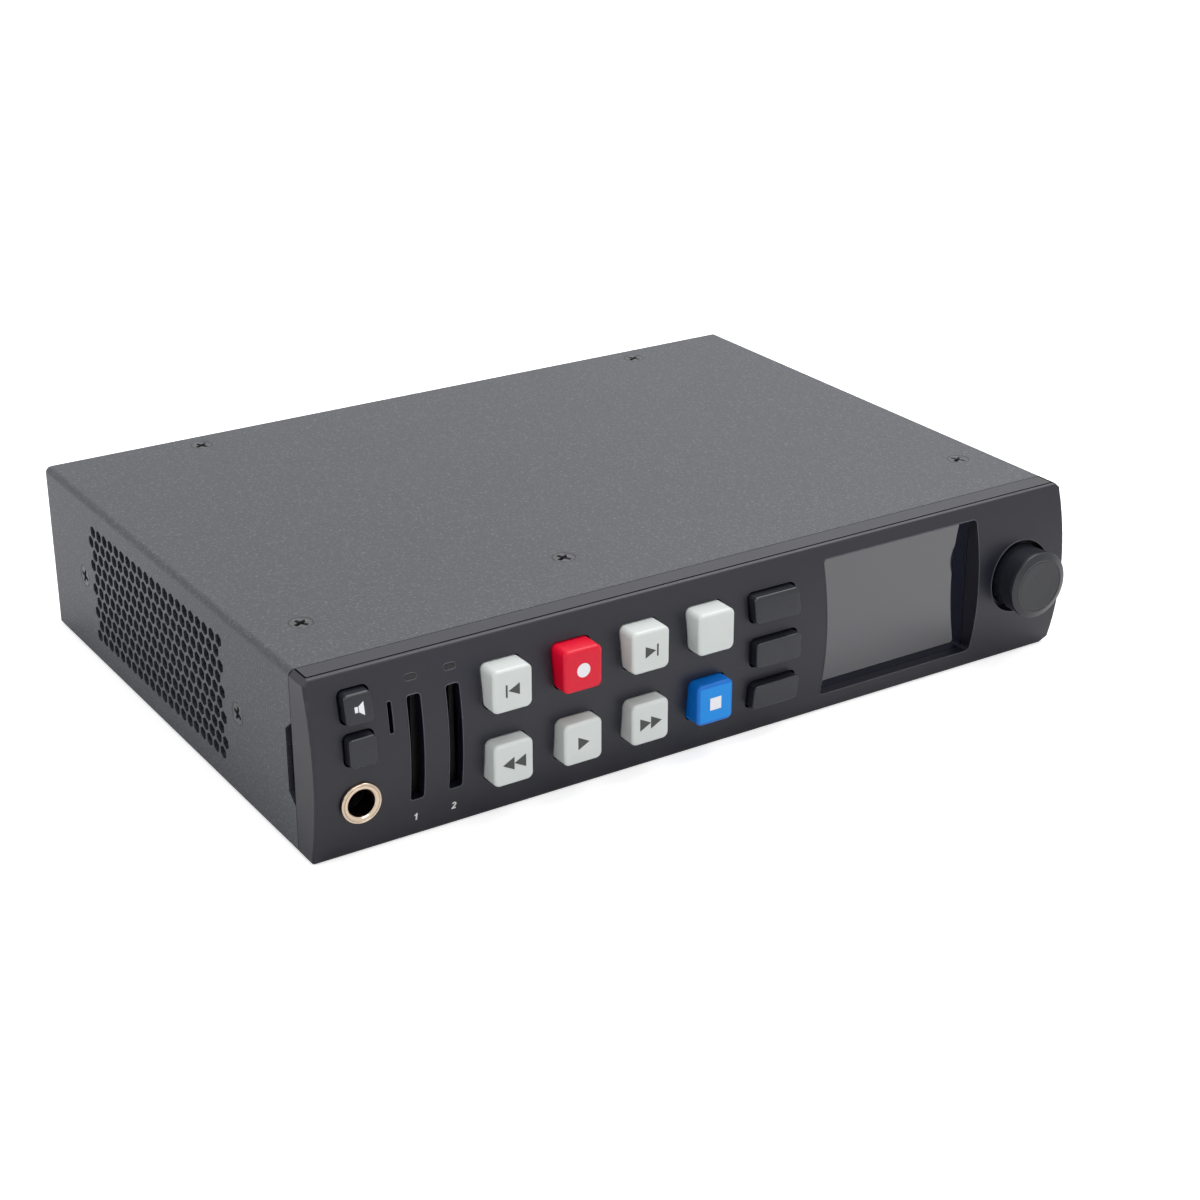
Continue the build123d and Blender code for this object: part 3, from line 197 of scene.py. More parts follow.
class Graph:
    """The node tree of a material or of the world."""

    def __init__(self, owner: Any) -> None:
        """Empties the owner's node tree.

        Args:
            owner: The material or the world.
        """
        self.owner = owner
        owner.use_nodes = True
        self.tree = owner.node_tree
        self.tree.nodes.clear()

    def node(
        self,
        kind: str,
        values: dict[Any, Any] | None = None,
        settings: dict[str, Any] | None = None,
        output: Any = 0,
    ) -> Value:
        """Adds one node.

        Args:
            kind: The node's type.
            values: What its sockets get, by name or place: numbers, colours or Values.
            settings: Properties that are set before the sockets.
            output: The output that is returned, by name or place.

        Returns:
            That output.
        """
        made = self.tree.nodes.new(kind)
        for key, setting in (settings or {}).items():
            setattr(made, key, setting)
        for key, value in (values or {}).items():
            socket = made.inputs[key]
            if isinstance(value, Value):
                self.tree.links.new(value.socket, socket)
            elif isinstance(value, tuple) and len(value) < len(socket.default_value):
                socket.default_value = (*value, 1.0)
            else:
                socket.default_value = value
        return Value(self, made.outputs[output] if len(made.outputs) else None)

    def place(self) -> Value:
        """Place on the piece, in metres."""
        return self.node("ShaderNodeTexCoord", output="Object")

    def axes(self) -> tuple[Value, Value, Value]:
        """The three parts of the place on the piece."""
        split = self.node("ShaderNodeSeparateXYZ", {"Vector": self.place()})
        return tuple(Value(self, output) for output in split.socket.node.outputs)

    def stretched(self, scale: Place) -> Value:
        """The place on the piece, with each axis scaled."""
        return self.node("ShaderNodeMapping", {"Vector": self.place(), "Scale": scale})

    def noise(self, size: float, detail: float = 2.0, where: Value | None = None) -> Value:
        """Soft random pattern near 0.5 with grains of a size, on the piece's own places or on others."""
        values = {"Vector": where or self.place(), "Scale": 1.0 / size, "Detail": detail}
        return self.node("ShaderNodeTexNoise", values)

    def cells(self, size: float, output: str = "Distance") -> Value:
        """Random cells of a size: the distance from their middles, or their colours."""
        values = {"Vector": self.place(), "Scale": 1.0 / size}
        return self.node("ShaderNodeTexVoronoi", values, output=output)

    def blend(self, share: Any, first: Any, second: Any) -> Value:
        """Mixes two colours: the first at share 0, the second at share 1."""
        values = {0: share, 6: first, 7: second}
        return self.node("ShaderNodeMix", values, {"data_type": "RGBA"}, 2)

    def bump(self, height: Value, depth: float) -> Value:
        """Relief from a height between 0 and 1 that stands depth metres high."""
        values = {"Height": height, "Distance": depth, "Strength": 1.0}
        return self.node("ShaderNodeBump", values, output="Normal")


@dataclass(frozen=True)
class Finish:
    """A plain moulded or painted finish: colour, sheen, fine grain and faint unevenness."""

    name: str
    colour: Colour
    roughness: float = 0.45
    metallic: float = 0.0
    grain: float = 0.25 * MM
    relief: float = 0.006 * MM
    mottle: float = 0.06
    cloud: float = 22 * MM
    coat: float = 0.0
    coat_roughness: float = 0.1
    ior: float = 1.5

    def constants(self) -> dict[str, Any]:
        """What is the same all over the surface, by the names of the shader's sockets."""
        coat = {"Coat Weight": self.coat, "Coat Roughness": self.coat_roughness}
        return {"Metallic": self.metallic, "IOR": self.ior, **coat}

    def paint(self, graph: Graph) -> dict[str, Any]:
        """Works out what varies over the surface: a soft cloud and a fine grain.

        Args:
            graph: The material's graph.

        Returns:
            Values by the names of the shader's sockets.
        """
        cloud = graph.noise(self.cloud, 3.0)
        fine = graph.noise(self.grain)
        share = (cloud * 0.6 + fine * 0.4).ramp(0.35, 0.65)
        dark, light = shade(self.colour, 1.0 - self.mottle), shade(self.colour, 1.0 + self.mottle)
        return {
            "Base Color": graph.blend(share, dark, light),
            "Roughness": self.roughness + (cloud - 0.5) * 0.12,
            "Normal": graph.bump(fine, self.relief),
        }

    def build(self) -> bpy.types.Material:
        """Makes the material: one Principled shader with the constants and the paint.

        Returns:
            The material.
        """
        graph = Graph(bpy.data.materials.new(self.name))
        shader = graph.node("ShaderNodeBsdfPrincipled", self.constants() | self.paint(graph))
        graph.node("ShaderNodeOutputMaterial", {"Surface": shader})
        return graph.owner


@dataclass(frozen=True)
class PowderCoat(Finish):
    """Textured powder paint: pebbled grains, with their tips painted paler as a painted highlight where they
    catch the light.
    """

    pebble: float = 0.55 * MM
    cloud: float = 40 * MM
    tip: Colour = (0.1, 0.1, 0.1)

    def paint(self, graph: Graph) -> dict[str, Any]:
        """Pebbles from a coarse and a fine noise, with the tips smoother and painted paler, a painted
        highlight.

        Args:
            graph: The material's graph.

        Returns:
            Values by the names of the shader's sockets.
        """
        height = graph.noise(self.pebble) * 0.65 + graph.noise(self.grain, 1.0) * 0.35
        cloud = graph.noise(self.cloud)
        tips = height.ramp(0.52, 0.68)
        share = tips * 0.55 + (cloud - 0.5) * 0.15
        return {
            # The paler tip colour is a painted highlight on the tops of the pebbles.
            "Base Color": graph.blend(share, self.colour, self.tip),
            "Roughness": self.roughness - tips * 0.08 + (cloud - 0.5) * 0.1,
            "Normal": graph.bump(height, self.relief),
        }


@dataclass(frozen=True)
class Plated(Finish):
    """Plated or bare metal with faint rubbed streaks along one axis."""

    metallic: float = 1.0
    cloud: float = 9 * MM
    streak: float = 1.6 * MM
    squeeze: Place = (1.0, 12.0, 12.0)

    def paint(self, graph: Graph) -> dict[str, Any]:
        """Streaks are a noise that is squeezed across the rubbing direction.

        Args:
            graph: The material's graph.

        Returns:
            Values by the names of the shader's sockets.
        """
        streaks = graph.noise(self.streak, 3.0, graph.stretched(self.squeeze))
        cloud = graph.noise(self.cloud, 3.0)
        dark = shade(self.colour, 1.0 - self.mottle)
        return {
            "Base Color": graph.blend(cloud.ramp(0.3, 0.7), dark, self.colour),
            "Roughness": self.roughness + (streaks - 0.5) * 0.25 + (cloud - 0.5) * 0.1,
            "Normal": graph.bump(streaks, self.relief),
        }


@dataclass(frozen=True)
class Spangle(Finish):
    """Zinc-plated sheet: flat crystals of slightly different grey."""

    metallic: float = 1.0
    crystal: float = 7 * MM

    def paint(self, graph: Graph) -> dict[str, Any]:
        """Each random cell has its own grey and roughness.

        Args:
            graph: The material's graph.

        Returns:
            Values by the names of the shader's sockets.
        """
        grey = graph.node("ShaderNodeSeparateColor", {"Color": graph.cells(self.crystal, "Color")})
        fine = graph.noise(self.grain)
        dark = shade(self.colour, 1.0 - 2.5 * self.mottle)
        return {
            "Base Color": graph.blend(grey, dark, self.colour),
            "Roughness": self.roughness + (grey - 0.5) * 0.14 + (fine - 0.5) * 0.05,
            "Normal": graph.bump(fine, self.relief),
        }


@dataclass(frozen=True)
class Milky(Finish):
    """Milky key plastic that light goes a little way into."""

    depth: float = 1.2 * MM
    weight: float = 0.25
    tint: Colour = (1.0, 1.0, 0.9)

    def constants(self) -> dict[str, Any]:
        """The plain constants, and how light scatters under the skin."""
        under = {"Weight": self.weight, "Radius": self.tint, "Scale": self.depth}
        return super().constants() | {f"Subsurface {name}": value for name, value in under.items()}


@dataclass(frozen=True)
class LitKey(Milky):
    """A clear-skinned key whose brighter square core is a painted glow of light from behind, showing through
    its face.
    """

    rim: Colour = (0.05, 0.1, 0.45)
    middle: Spot = (0.0, 0.0)
    glow_core: float = 4.1 * MM
    fade: float = 0.35 * MM

    def paint(self, graph: Graph) -> dict[str, Any]:
        """The painted glow core is where both distances from the middle are small.

        Args:
            graph: The material's graph.

        Returns:
            Values by the names of the shader's sockets.
        """
        values = super().paint(graph)
        x, _, z = graph.axes()
        far = [abs(v - m).ramp(self.glow_core, self.glow_core + self.fade) for v, m in zip((x, z), self.middle)]
        outside = 1.0 - (1.0 - far[0]) * (1.0 - far[1])
        # Outside the core the key takes the darker colour. The brighter core is a painted glow, not a lamp.
        values["Base Color"] = graph.blend(outside * 0.8, values["Base Color"], self.rim)
        return values


@dataclass(frozen=True)
class Board(Finish):
    """Solder mask with faint copper tracks under it."""

    track: float = 1.4 * MM
    area: float = 16 * MM
    bend: float = 40.0

    def paint(self, graph: Graph) -> dict[str, Any]:
        """Tracks are bands of a bent ramp, broken up by large cells.

        Args:
            graph: The material's graph.

        Returns:
            Values by the names of the shader's sockets.
        """
        x, y, z = graph.axes()
        cell = graph.cells(self.area)
        line = ((x + y + z) * (math.tau / self.track) + cell * self.bend).sine()
        tracks = line.ramp(0.2, 0.5) * cell.ramp(0.25, 0.4)
        return {
            "Base Color": graph.blend(tracks, self.colour, shade(self.colour, 1.7)),
            "Roughness": self.roughness + tracks * 0.06,
            "Normal": graph.bump(tracks, 0.02 * MM),
        }


@dataclass(frozen=True)
class Wound(Finish):
    """Enamelled wire in layers, turn beside turn."""

    metallic: float = 0.8
    relief: float = 0.12 * MM
    wire: float = 0.5 * MM
    across: int = 2
    # How dark the painted shade is in the gaps between wires.
    gap_shade: float = 0.45

    def paint(self, graph: Graph) -> dict[str, Any]:
        """Each wire is one wave along the axis across the wires, with painted shade darkening the gaps
        between them.

        Args:
            graph: The material's graph.

        Returns:
            Values by the names of the shader's sockets.
        """
        wave = graph.axes()[self.across].wave(self.wire)
        return {
            # The darker gaps between the wires are painted shade.
            "Base Color": graph.blend(wave, shade(self.colour, self.gap_shade), self.colour),
            "Roughness": self.roughness + wave * 0.05,
            "Normal": graph.bump(wave, self.relief),
        }


@dataclass(frozen=True)
class FlatCable(Wound):
    """Grey flat cable: parallel wires with one coloured edge."""

    metallic: float = 0.0
    relief: float = 0.25 * MM
    wire: float = 1.27 * MM
    across: int = 0
    # How dark the painted shade is between the cable's wires.
    gap_shade: float = 0.75
    left: float = 0.0
    edge: Colour = (0.45, 0.03, 0.03)

    def paint(self, graph: Graph) -> dict[str, Any]:
        """The wires, with the first one coloured.

        Args:
            graph: The material's graph.

        Returns:
            Values by the names of the shader's sockets.
        """
        values = super().paint(graph)
        first = graph.axes()[self.across] < self.left + self.wire
        values["Base Color"] = graph.blend(first, values["Base Color"], self.edge)
        return values


@dataclass(frozen=True)
class Pane(Finish):
    """A dark display behind a flat glossy pane with a faint haze."""

    cloud: float = 14 * MM

    def paint(self, graph: Graph) -> dict[str, Any]:
        """Nearly even, with a little haze of handling.

        Args:
            graph: The material's graph.

        Returns:
            Values by the names of the shader's sockets.
        """
        cloud = graph.noise(self.cloud, 3.0)
        return {
            "Base Color": graph.blend(cloud.ramp(0.3, 0.7), self.colour, shade(self.colour, 1.25)),
            "Roughness": self.roughness + cloud.ramp(0.5, 0.8) * 0.03,
        }


@dataclass(frozen=True)
class Axis:
    """A line to turn shapes about, with a direction across it."""

    origin: Place
    along: Place = (0.0, 1.0, 0.0)
    across: Place = (1.0, 0.0, 0.0)

    def points(self, first: np.ndarray, second: np.ndarray, along: np.ndarray) -> np.ndarray:
        """Places points given by two distances across the line and one along it.

        Args:
            first: Distances along the direction across.
            second: Distances along the direction square to both others.
            along: Distances along the line.

        Returns:
            Points, with x, y and z last.
        """
        line, across = np.array(self.along), np.array(self.across)
        other = np.cross(line, across)
        parts = first[..., None] * across + second[..., None] * other + along[..., None] * line
        return parts + np.array(self.origin)


@dataclass
class Surfaces:
    """Collects the surfaces of one piece as arrays of points and faces."""

    points: list[np.ndarray] = field(default_factory=list)
    faces: list[list[int]] = field(default_factory=list)
    count: int = 0

    def add(self, points: np.ndarray, faces: np.ndarray) -> None:
        """Adds points and the faces between them.

        Args:
            points: Rows of x, y, z.
            faces: Rows of indices into these points.
        """
        self.points.append(points)
        self.faces.extend((faces + self.count).tolist())
        self.count += len(points)

    def grid(self, points: np.ndarray, around: bool = False, along: bool = False) -> None:
        """Adds a surface over a grid of points.

        Args:
            points: An array of rows, columns and x, y, z.
            around: Whether the last column meets the first.
            along: Whether the last row meets the first.
        """
        index = np.arange(points[..., 0].size).reshape(points.shape[:2])
        if around:
            index = np.concatenate((index, index[:, :1]), axis=1)
        if along:
            index = np.concatenate((index, index[:1]), axis=0)
        corners = (index[:-1, :-1], index[1:, :-1], index[1:, 1:], index[:-1, 1:])
        self.add(points.reshape(-1, 3), np.stack([c.ravel() for c in corners], axis=1))

    def lid(self, ring: np.ndarray) -> None:
        """Closes a ring of points with a fan to its middle.

        Args:
            ring: Rows of x, y, z.
        """
        count = len(ring)
        edge = np.arange(count)
        fan = np.stack((edge, (edge + 1) % count, np.full(count, count)), axis=1)
        self.add(np.concatenate((ring, ring.mean(axis=0, keepdims=True))), fan)

    def closed(self, rings: np.ndarray) -> None:
        """Adds a tube through rings of points and closes both its ends.

        Args:
            rings: An array of rings, points and x, y, z.
        """
        self.grid(rings, around=True)
        self.lid(rings[0])
        self.lid(rings[-1])

    def turned(self, profile: np.ndarray, axis: Axis, steps: int, ring: bool = False) -> None:
        """Adds a turned shape: each profile point goes round the axis in a full circle.

        Args:
            profile: Rows of radius and place along the axis. It is a closed loop for a ring, and else
                starts and ends on the axis.
            axis: The axis that it turns about.
            steps: Points in each circle.
            ring: Whether the shape is a ring.
        """
        angle = np.linspace(0.0, math.tau, steps, endpoint=False)
        radius, along = profile.T[..., None]
        places = axis.points(radius * np.cos(angle), radius * np.sin(angle), np.repeat(along, steps, axis=1))
        self.grid(places, around=True, along=ring)

    def plate(self, outline: np.ndarray, y: np.ndarray, thickness: float) -> None:
        """Adds a plate over a convex outline of x and z, with its front at y and its thickness behind."""
        face = np.insert(outline, 1, y, axis=1)
        self.closed(np.stack((face, face + np.array((0.0, thickness, 0.0)))))

    def piece(
        self,
        name: str,
        material: bpy.types.Material,
        body: str,
        slot: Slot,
        *stands_for: str,
        sharp: float = 35.0,
    ) -> None:
        """Makes the object at the origin with its faces outwards, and fastens it to its body.

        Args:
            name: The piece's name.
            material: Its finish.
            body: The body that it moves with.
            slot: The record's material slot; not used.
            stands_for: Nodes of the frame that it replaces.
            sharp: Edges with a larger angle than this, in degrees, stay crisp.
        """
        mesh = bpy.data.meshes.new(name)
        mesh.from_pydata(np.concatenate(self.points), [], self.faces)
        shape = bmesh.new()
        shape.from_mesh(mesh)
        bmesh.ops.remove_doubles(shape, verts=shape.verts, dist=WELD)
        bmesh.ops.dissolve_degenerate(shape, edges=shape.edges, dist=WELD / 10)
        bmesh.ops.recalc_face_normals(shape, faces=shape.faces)
        shape.to_mesh(mesh)
        shape.free()
        mesh.shade_smooth()
        mesh.set_sharp_from_angle(angle=math.radians(sharp))
        mesh.materials.append(material)
        made = bpy.data.objects.new(name, mesh)
        bpy.context.scene.collection.objects.link(made)
        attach(made, body)
        if stands_for:
            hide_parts(*stands_for)
        LOG.info("%s: %d faces on %s", name, len(mesh.polygons), body)


def circle(middle: Spot, radius: float, steps: int) -> np.ndarray:
    """Outline of a circle in X and Z, as rows."""
    angle = np.linspace(0.0, math.tau, steps, endpoint=False)
    return np.stack((middle[0] + radius * np.cos(angle), middle[1] + radius * np.sin(angle)), axis=1)


def triangle(middle: Spot, width: float, height: float, towards: int) -> np.ndarray:
    """Outline in X and Z of a triangle that points right where towards is 1, and left where it is -1."""
    corners = np.array(((-towards, -1), (towards, 0), (-towards, 1))) / 2
    return np.array(middle) + corners * (width, height)


def oblong(middle: Spot, width: float, height: float) -> np.ndarray:
    """Outline of a rectangle in X and Z, as its four corners."""
    corners = np.array(((-1, -1), (1, -1), (1, 1), (-1, 1))) / 2
    return np.array(middle) + corners * (width, height)


def rounded(middle: Spot, width: float, height: float, radius: float) -> np.ndarray:
    """Outline of a rectangle with round corners in X and Z.

    Each corner is a quarter circle about a point that lies the radius inside both of its sides.

    Args:
        middle: Its middle.
        width: Its width.
        height: Its height.
        radius: Radius of its corners.

    Returns:
        Rows of x and z.
    """
    turn = np.linspace(0.0, math.pi / 2, CORNER_POINTS) + np.arange(4)[:, None] * math.pi / 2
    across = np.array((1, -1, -1, 1))[:, None] * (width / 2 - radius)
    up = np.array((1, 1, -1, -1))[:, None] * (height / 2 - radius)
    x = middle[0] + across + radius * np.cos(turn)
    z = middle[1] + up + radius * np.sin(turn)
    return np.stack((x.ravel(), z.ravel()), axis=1)


def softened(profile: tuple, reach: float, steps: int = 4, closed: bool = False) -> np.ndarray:
    """Rounds the corners of a profile.

    Each corner becomes a quadratic curve between the points that lie reach away from it on both of its
    runs, or a little less than half a run away where the run is short.

    Args:
        profile: Rows of radius and place, in millimetres.
        reach: How far each curve reaches, in millimetres.
        steps: Runs in each curve.
        closed: Whether the last point meets the first.

    Returns:
        Rows of radius and place, in metres.
    """
    points = np.asarray(profile, float)
    ends = []
    for shift in (1, -1):
        run = np.roll(points, shift, axis=0) - points
        length = np.linalg.norm(run, axis=1, keepdims=True)
        ends.append((points + run * np.minimum(reach / length, SHORT_RUN))[:, None])
    share = np.linspace(0.0, 1.0, steps + 1)[None, :, None]
    bend = points[:, None] * 2 * share * (1 - share)
    curve = ends[0] * (1 - share) ** 2 + bend + ends[1] * share**2
    if closed:
        return curve.reshape(-1, 2) * MM
    return np.concatenate((points[:1], curve[1:-1].reshape(-1, 2), points[-1:])) * MM


def middle_of(node: str) -> tuple[Vector, Vector, Vector]:
    """Lowest corner, highest corner and middle of a node of the frame."""
    low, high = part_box(node)
    return low, high, (low + high) / 2


@dataclass
class Wardrobe:
    """Every finish of the recorder, one for each material slot."""

    materials: dict[Slot, bpy.types.Material] = field(default_factory=dict)

    def finishes(self) -> dict[Slot, Finish]:
        """Gives the finish of each slot.

        Returns:
            The finishes by their slots.
        """
        stop = middle_of("key_stop")[2]
        # The blue key's brighter middle paints the glow of its light from behind; the rim colour is its
        # darker edge.
        blue = {"rim": from_screen(0, 96, 190), "middle": (stop.x, stop.z), "mottle": 0.03, "ior": 1.38}
        glass = {"coat": 1.0, "coat_roughness": 0.04, "ior": 1.74}
        # The tip colour is a painted highlight on the tops of the powder coat's pebbles.
        coat = {"grain": 0.22 * MM, "relief": 0.05 * MM, "tip": from_screen(104, 107, 114)}
        bezel = {"grain": 0.12 * MM, "relief": 0.004 * MM}
        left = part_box("ribbon_cable")[0].x
        made = {
            Slot.COVER: (PowderCoat, from_screen(49, 51, 58), 0.46, coat),
            Slot.BEZEL: (Finish, from_screen(14, 14, 28), 0.4, bezel),
            Slot.ZINC: (Spangle, (0.26, 0.265, 0.27), 0.42, {}),
            Slot.SCREW: (Plated, (0.11, 0.11, 0.117), 0.36, {}),
            Slot.WHITE: (Milky, from_screen(198, 203, 201), 0.38, {"mottle": 0.02, "coat": 0.15}),
            Slot.RED: (Milky, from_screen(212, 0, 42), 0.36, {"mottle": 0.03, "ior": 1.38}),
            Slot.BLUE: (LitKey, from_screen(0, 134, 216), 0.36, blue),
            Slot.DARK: (Finish, from_screen(27, 28, 36), 0.28, {"relief": 0.003 * MM}),
            Slot.KNOB: (Finish, from_screen(26, 27, 34), 0.27, {"relief": 0.003 * MM}),
            Slot.GLASS: (Pane, from_screen(7, 8, 28), 0.05, glass),
            Slot.PANEL: (Pane, (0.01, 0.01, 0.012), 0.2, {}),
            Slot.BOARD: (Board, (0.01, 0.08, 0.035), 0.3, {"coat": 0.4}),
            Slot.BLACK: (Finish, (0.012, 0.012, 0.013), 0.45, {}),
            Slot.NICKEL: (Plated, (0.72, 0.7, 0.66), 0.22, {"relief": 0.002 * MM}),
            Slot.SHAFT: (Plated, (0.6, 0.6, 0.6), 0.25, {}),
            Slot.CHIP: (Finish, (0.016, 0.016, 0.018), 0.5, {}),
            Slot.SINK: (Finish, (0.02, 0.02, 0.022), 0.4, {"metallic": 0.6}),
            Slot.CELL: (Plated, (0.66, 0.66, 0.64), 0.3, {}),
            Slot.COPPER: (Wound, (0.6, 0.25, 0.09), 0.35, {}),
            Slot.SLEEVE: (Finish, (0.012, 0.016, 0.05), 0.35, {"coat": 0.3}),
            Slot.LAMP: (Finish, from_screen(10, 10, 14), 0.5, {}),
            Slot.RIBBON: (FlatCable, (0.5, 0.5, 0.51), 0.5, {"left": left}),
        }
        return {
            slot: kind(slot.value, colour, roughness, **more)
            for slot, (kind, colour, roughness, more) in made.items()
        }

    def build(self) -> None:
        """Makes all the materials."""
        self.materials = {slot: finish.build() for slot, finish in self.finishes().items()}

    def __getitem__(self, slot: Slot) -> bpy.types.Material:
        """The material of a slot."""
        return self.materials[slot]

    def dress(self) -> None:
        """Gives each node of the frame the finish of its slot."""
        for part in frame["record"]["subparts"]:
            worn = frame["nodes"][part["node"]].data.materials
            worn.clear()
            worn.append(self[Slot(part["material_slot"])])
        LOG.info("dressed %d nodes", len(frame["nodes"]))


@dataclass
class Bezel:
    """The curved face: a slice of a wide cylinder that lies along X."""

    radius: float = 70.2 * MM
    middle_height: float = 21.9 * MM
    ink_proud: float = 0.02 * MM
    key_proud: float = 2.4 * MM

    def __post_init__(self) -> None:
        """Finds how far forward the face stands."""
        self.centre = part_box("front_bezel")[0].y + self.radius

    def surface(self, height: np.ndarray, proud: float = 0.0) -> np.ndarray:
        """Y of the curved face: the near side of the cylinder, made wider by how proud the points are."""
        rise = height - self.middle_height
        return self.centre - np.sqrt((self.radius + proud) ** 2 - rise**2)


@dataclass
class SlotNumbers:
    """The plain numbers 1 and 2 under the card slots, as strokes printed on the face."""

    bezel: Bezel
    places: Spot = (-80.75 * MM, -71.4 * MM)
    base: float = 4.25 * MM
    height: float = 1.9 * MM
    width: float = 1.15 * MM
    stroke: float = 0.36 * MM
    sunk: float = 0.03 * MM
    flag: Spot = (0.5 * MM, 0.62 * MM)
    arc: Spot = (165.0, -35.0)
    arc_points: int = 18

    def line(self, shape: Surfaces, path: np.ndarray) -> None:
        """Carries the stroke along a path, with mitred corners.

        The stroke's edges lie half its width to each side of the path, along the mean of the normals of
        the two runs that meet at a point, longer where they meet at an angle.

        Args:
            shape: Where the surfaces go.
            path: Rows of x and z.
        """
        runs = np.diff(path, axis=0)
        runs /= np.linalg.norm(runs, axis=1, keepdims=True)
        before = np.concatenate((runs[:1], runs))
        after = np.concatenate((runs, runs[-1:]))
        mean = before + after
        mean /= np.linalg.norm(mean, axis=1, keepdims=True)
        normal = np.stack((-mean[:, 1], mean[:, 0]), axis=1)
        side = normal * (self.stroke / 2) / (mean * after).sum(axis=1, keepdims=True)
        proud, edges = self.bezel.ink_proud, []
        for out, deep in ((1, 0), (-1, 0), (-1, 1), (1, 1)):
            edge = path + out * side
            y = self.bezel.surface(edge[:, 1], proud) + deep * (proud + self.sunk)
            edges.append(np.insert(edge, 1, y, axis=1))
        shape.closed(np.stack(edges, axis=1))

    def one(self, x: float) -> list[np.ndarray]:
        """Strokes of a 1: an upright with a short flag.

        Args:
            x: Its middle.

        Returns:
            Paths, each as rows of x and z.
        """
        top = self.base + self.height
        upright = np.array(((x, self.base), (x, top)))
        flag = np.array(((x, top - self.stroke / 2), (x - self.flag[0], top - self.flag[1])))
        return [upright, flag]

    def two(self, x: float) -> list[np.ndarray]:
        """Strokes of a 2: an arc over the top that runs into a diagonal, and a foot.

        Args:
            x: Its middle.

        Returns:
            Paths, each as rows of x and z.
        """
        half = self.stroke / 2
        reach = self.width / 2 - half
        high = self.base + self.height - half - reach
        angle = np.linspace(*np.radians(self.arc), self.arc_points)
        arc = np.stack((x + reach * np.cos(angle), high + reach * np.sin(angle)), axis=1)
        low = self.base + half
        foot = np.array(((x - reach - half, low), (x + reach + self.stroke / 3, low)))
        return [np.concatenate((arc, ((x - reach, low),))), foot]

    def build(self) -> None:
        """Makes both numbers under their slots."""
        ink = Finish("print_ink", from_screen(214, 214, 212), 0.5, mottle=0.03).build()
        for name, x, strokes in zip(("1", "2"), self.places, (self.one, self.two)):
            shape = Surfaces()
            for path in strokes(x):
                self.line(shape, path)
            shape.piece(f"slot_number_{name}", ink, CASE, Slot.WHITE)


class Mark(Enum):
    """Symbols, by the key that carries each."""

    SKIP_BACK = "key_skip_back"
    RECORD = "key_record"
    SKIP_FORWARD = "key_skip_forward"
    REWIND = "key_rewind"
    PLAY = "key_play"
    FAST_FORWARD = "key_fast_forward"
    STOP = "key_stop"
    MONITOR = "key_monitor"


@dataclass
class KeyMarks:
    """Symbols printed on the transport keys and the monitor key."""

    bezel: Bezel
    thickness: float = 0.05 * MM
    skip: float = 2.85 * MM
    bar: Spot = (0.45 * MM, 2.9925 * MM)
    play: Spot = (2.95 * MM, 3.15 * MM)
    dot: float = 1.7 * MM
    dot_steps: int = 64
    square: float = 3.1 * MM
    cone: tuple = ((-0.15, -0.62), (1.1, -1.5), (1.1, 1.5), (-0.15, 0.62))
    coil: tuple = ((-1.1, -0.62), (-0.35, -0.62), (-0.35, 0.62), (-1.1, 0.62))

    def outlines(self, mark: Mark, at: Spot) -> list[np.ndarray]:
        """Convex outlines of a symbol.

        Args:
            mark: Which symbol.
            at: X and Z of the key's middle.

        Returns:
            Outlines, each as rows of x and z.
        """
        x, z = at
        towards = 1 if mark in (Mark.SKIP_FORWARD, Mark.FAST_FORWARD, Mark.PLAY) else -1
        if mark is Mark.RECORD:
            return [circle(at, self.dot, self.dot_steps)]
        if mark is Mark.STOP:
            return [oblong(at, self.square, self.square)]
        if mark is Mark.PLAY:
            return [triangle(at, *self.play, towards)]
        if mark in (Mark.REWIND, Mark.FAST_FORWARD):
            return [triangle((x + side * self.play[0] / 2, z), *self.play, towards) for side in (-1, 1)]
        if mark is Mark.MONITOR:
            return [np.array(part) * MM + at for part in (self.cone, self.coil)]
        stop = oblong((x + towards * (self.skip + self.bar[0]) / 2, z), *self.bar)
        return [triangle((x - towards * self.bar[0] / 2, z), self.skip, self.skip, towards), stop]

    def build(self) -> None:
        """Makes each symbol on the front of its key."""
        dark = Finish("mark_ink", from_screen(52, 56, 54), 0.45, mottle=0.05).build()
        pale = Finish("mark_white", from_screen(226, 226, 230), 0.4, mottle=0.02).build()
        for mark in Mark:
            low, _, middle = middle_of(mark.value)
            shape = Surfaces()
            for outline in self.outlines(mark, (middle.x, middle.z)):
                y = np.full(len(outline), low.y - self.bezel.ink_proud)
                if mark is Mark.MONITOR:
                    y = self.bezel.surface(outline[:, 1], self.bezel.key_proud + self.bezel.ink_proud)
                shape.plate(outline, y, self.thickness)
            ink = pale if mark in (Mark.RECORD, Mark.STOP, Mark.MONITOR) else dark
            shape.piece(mark.value.replace("key", "mark"), ink, mark.value, Slot.WHITE)


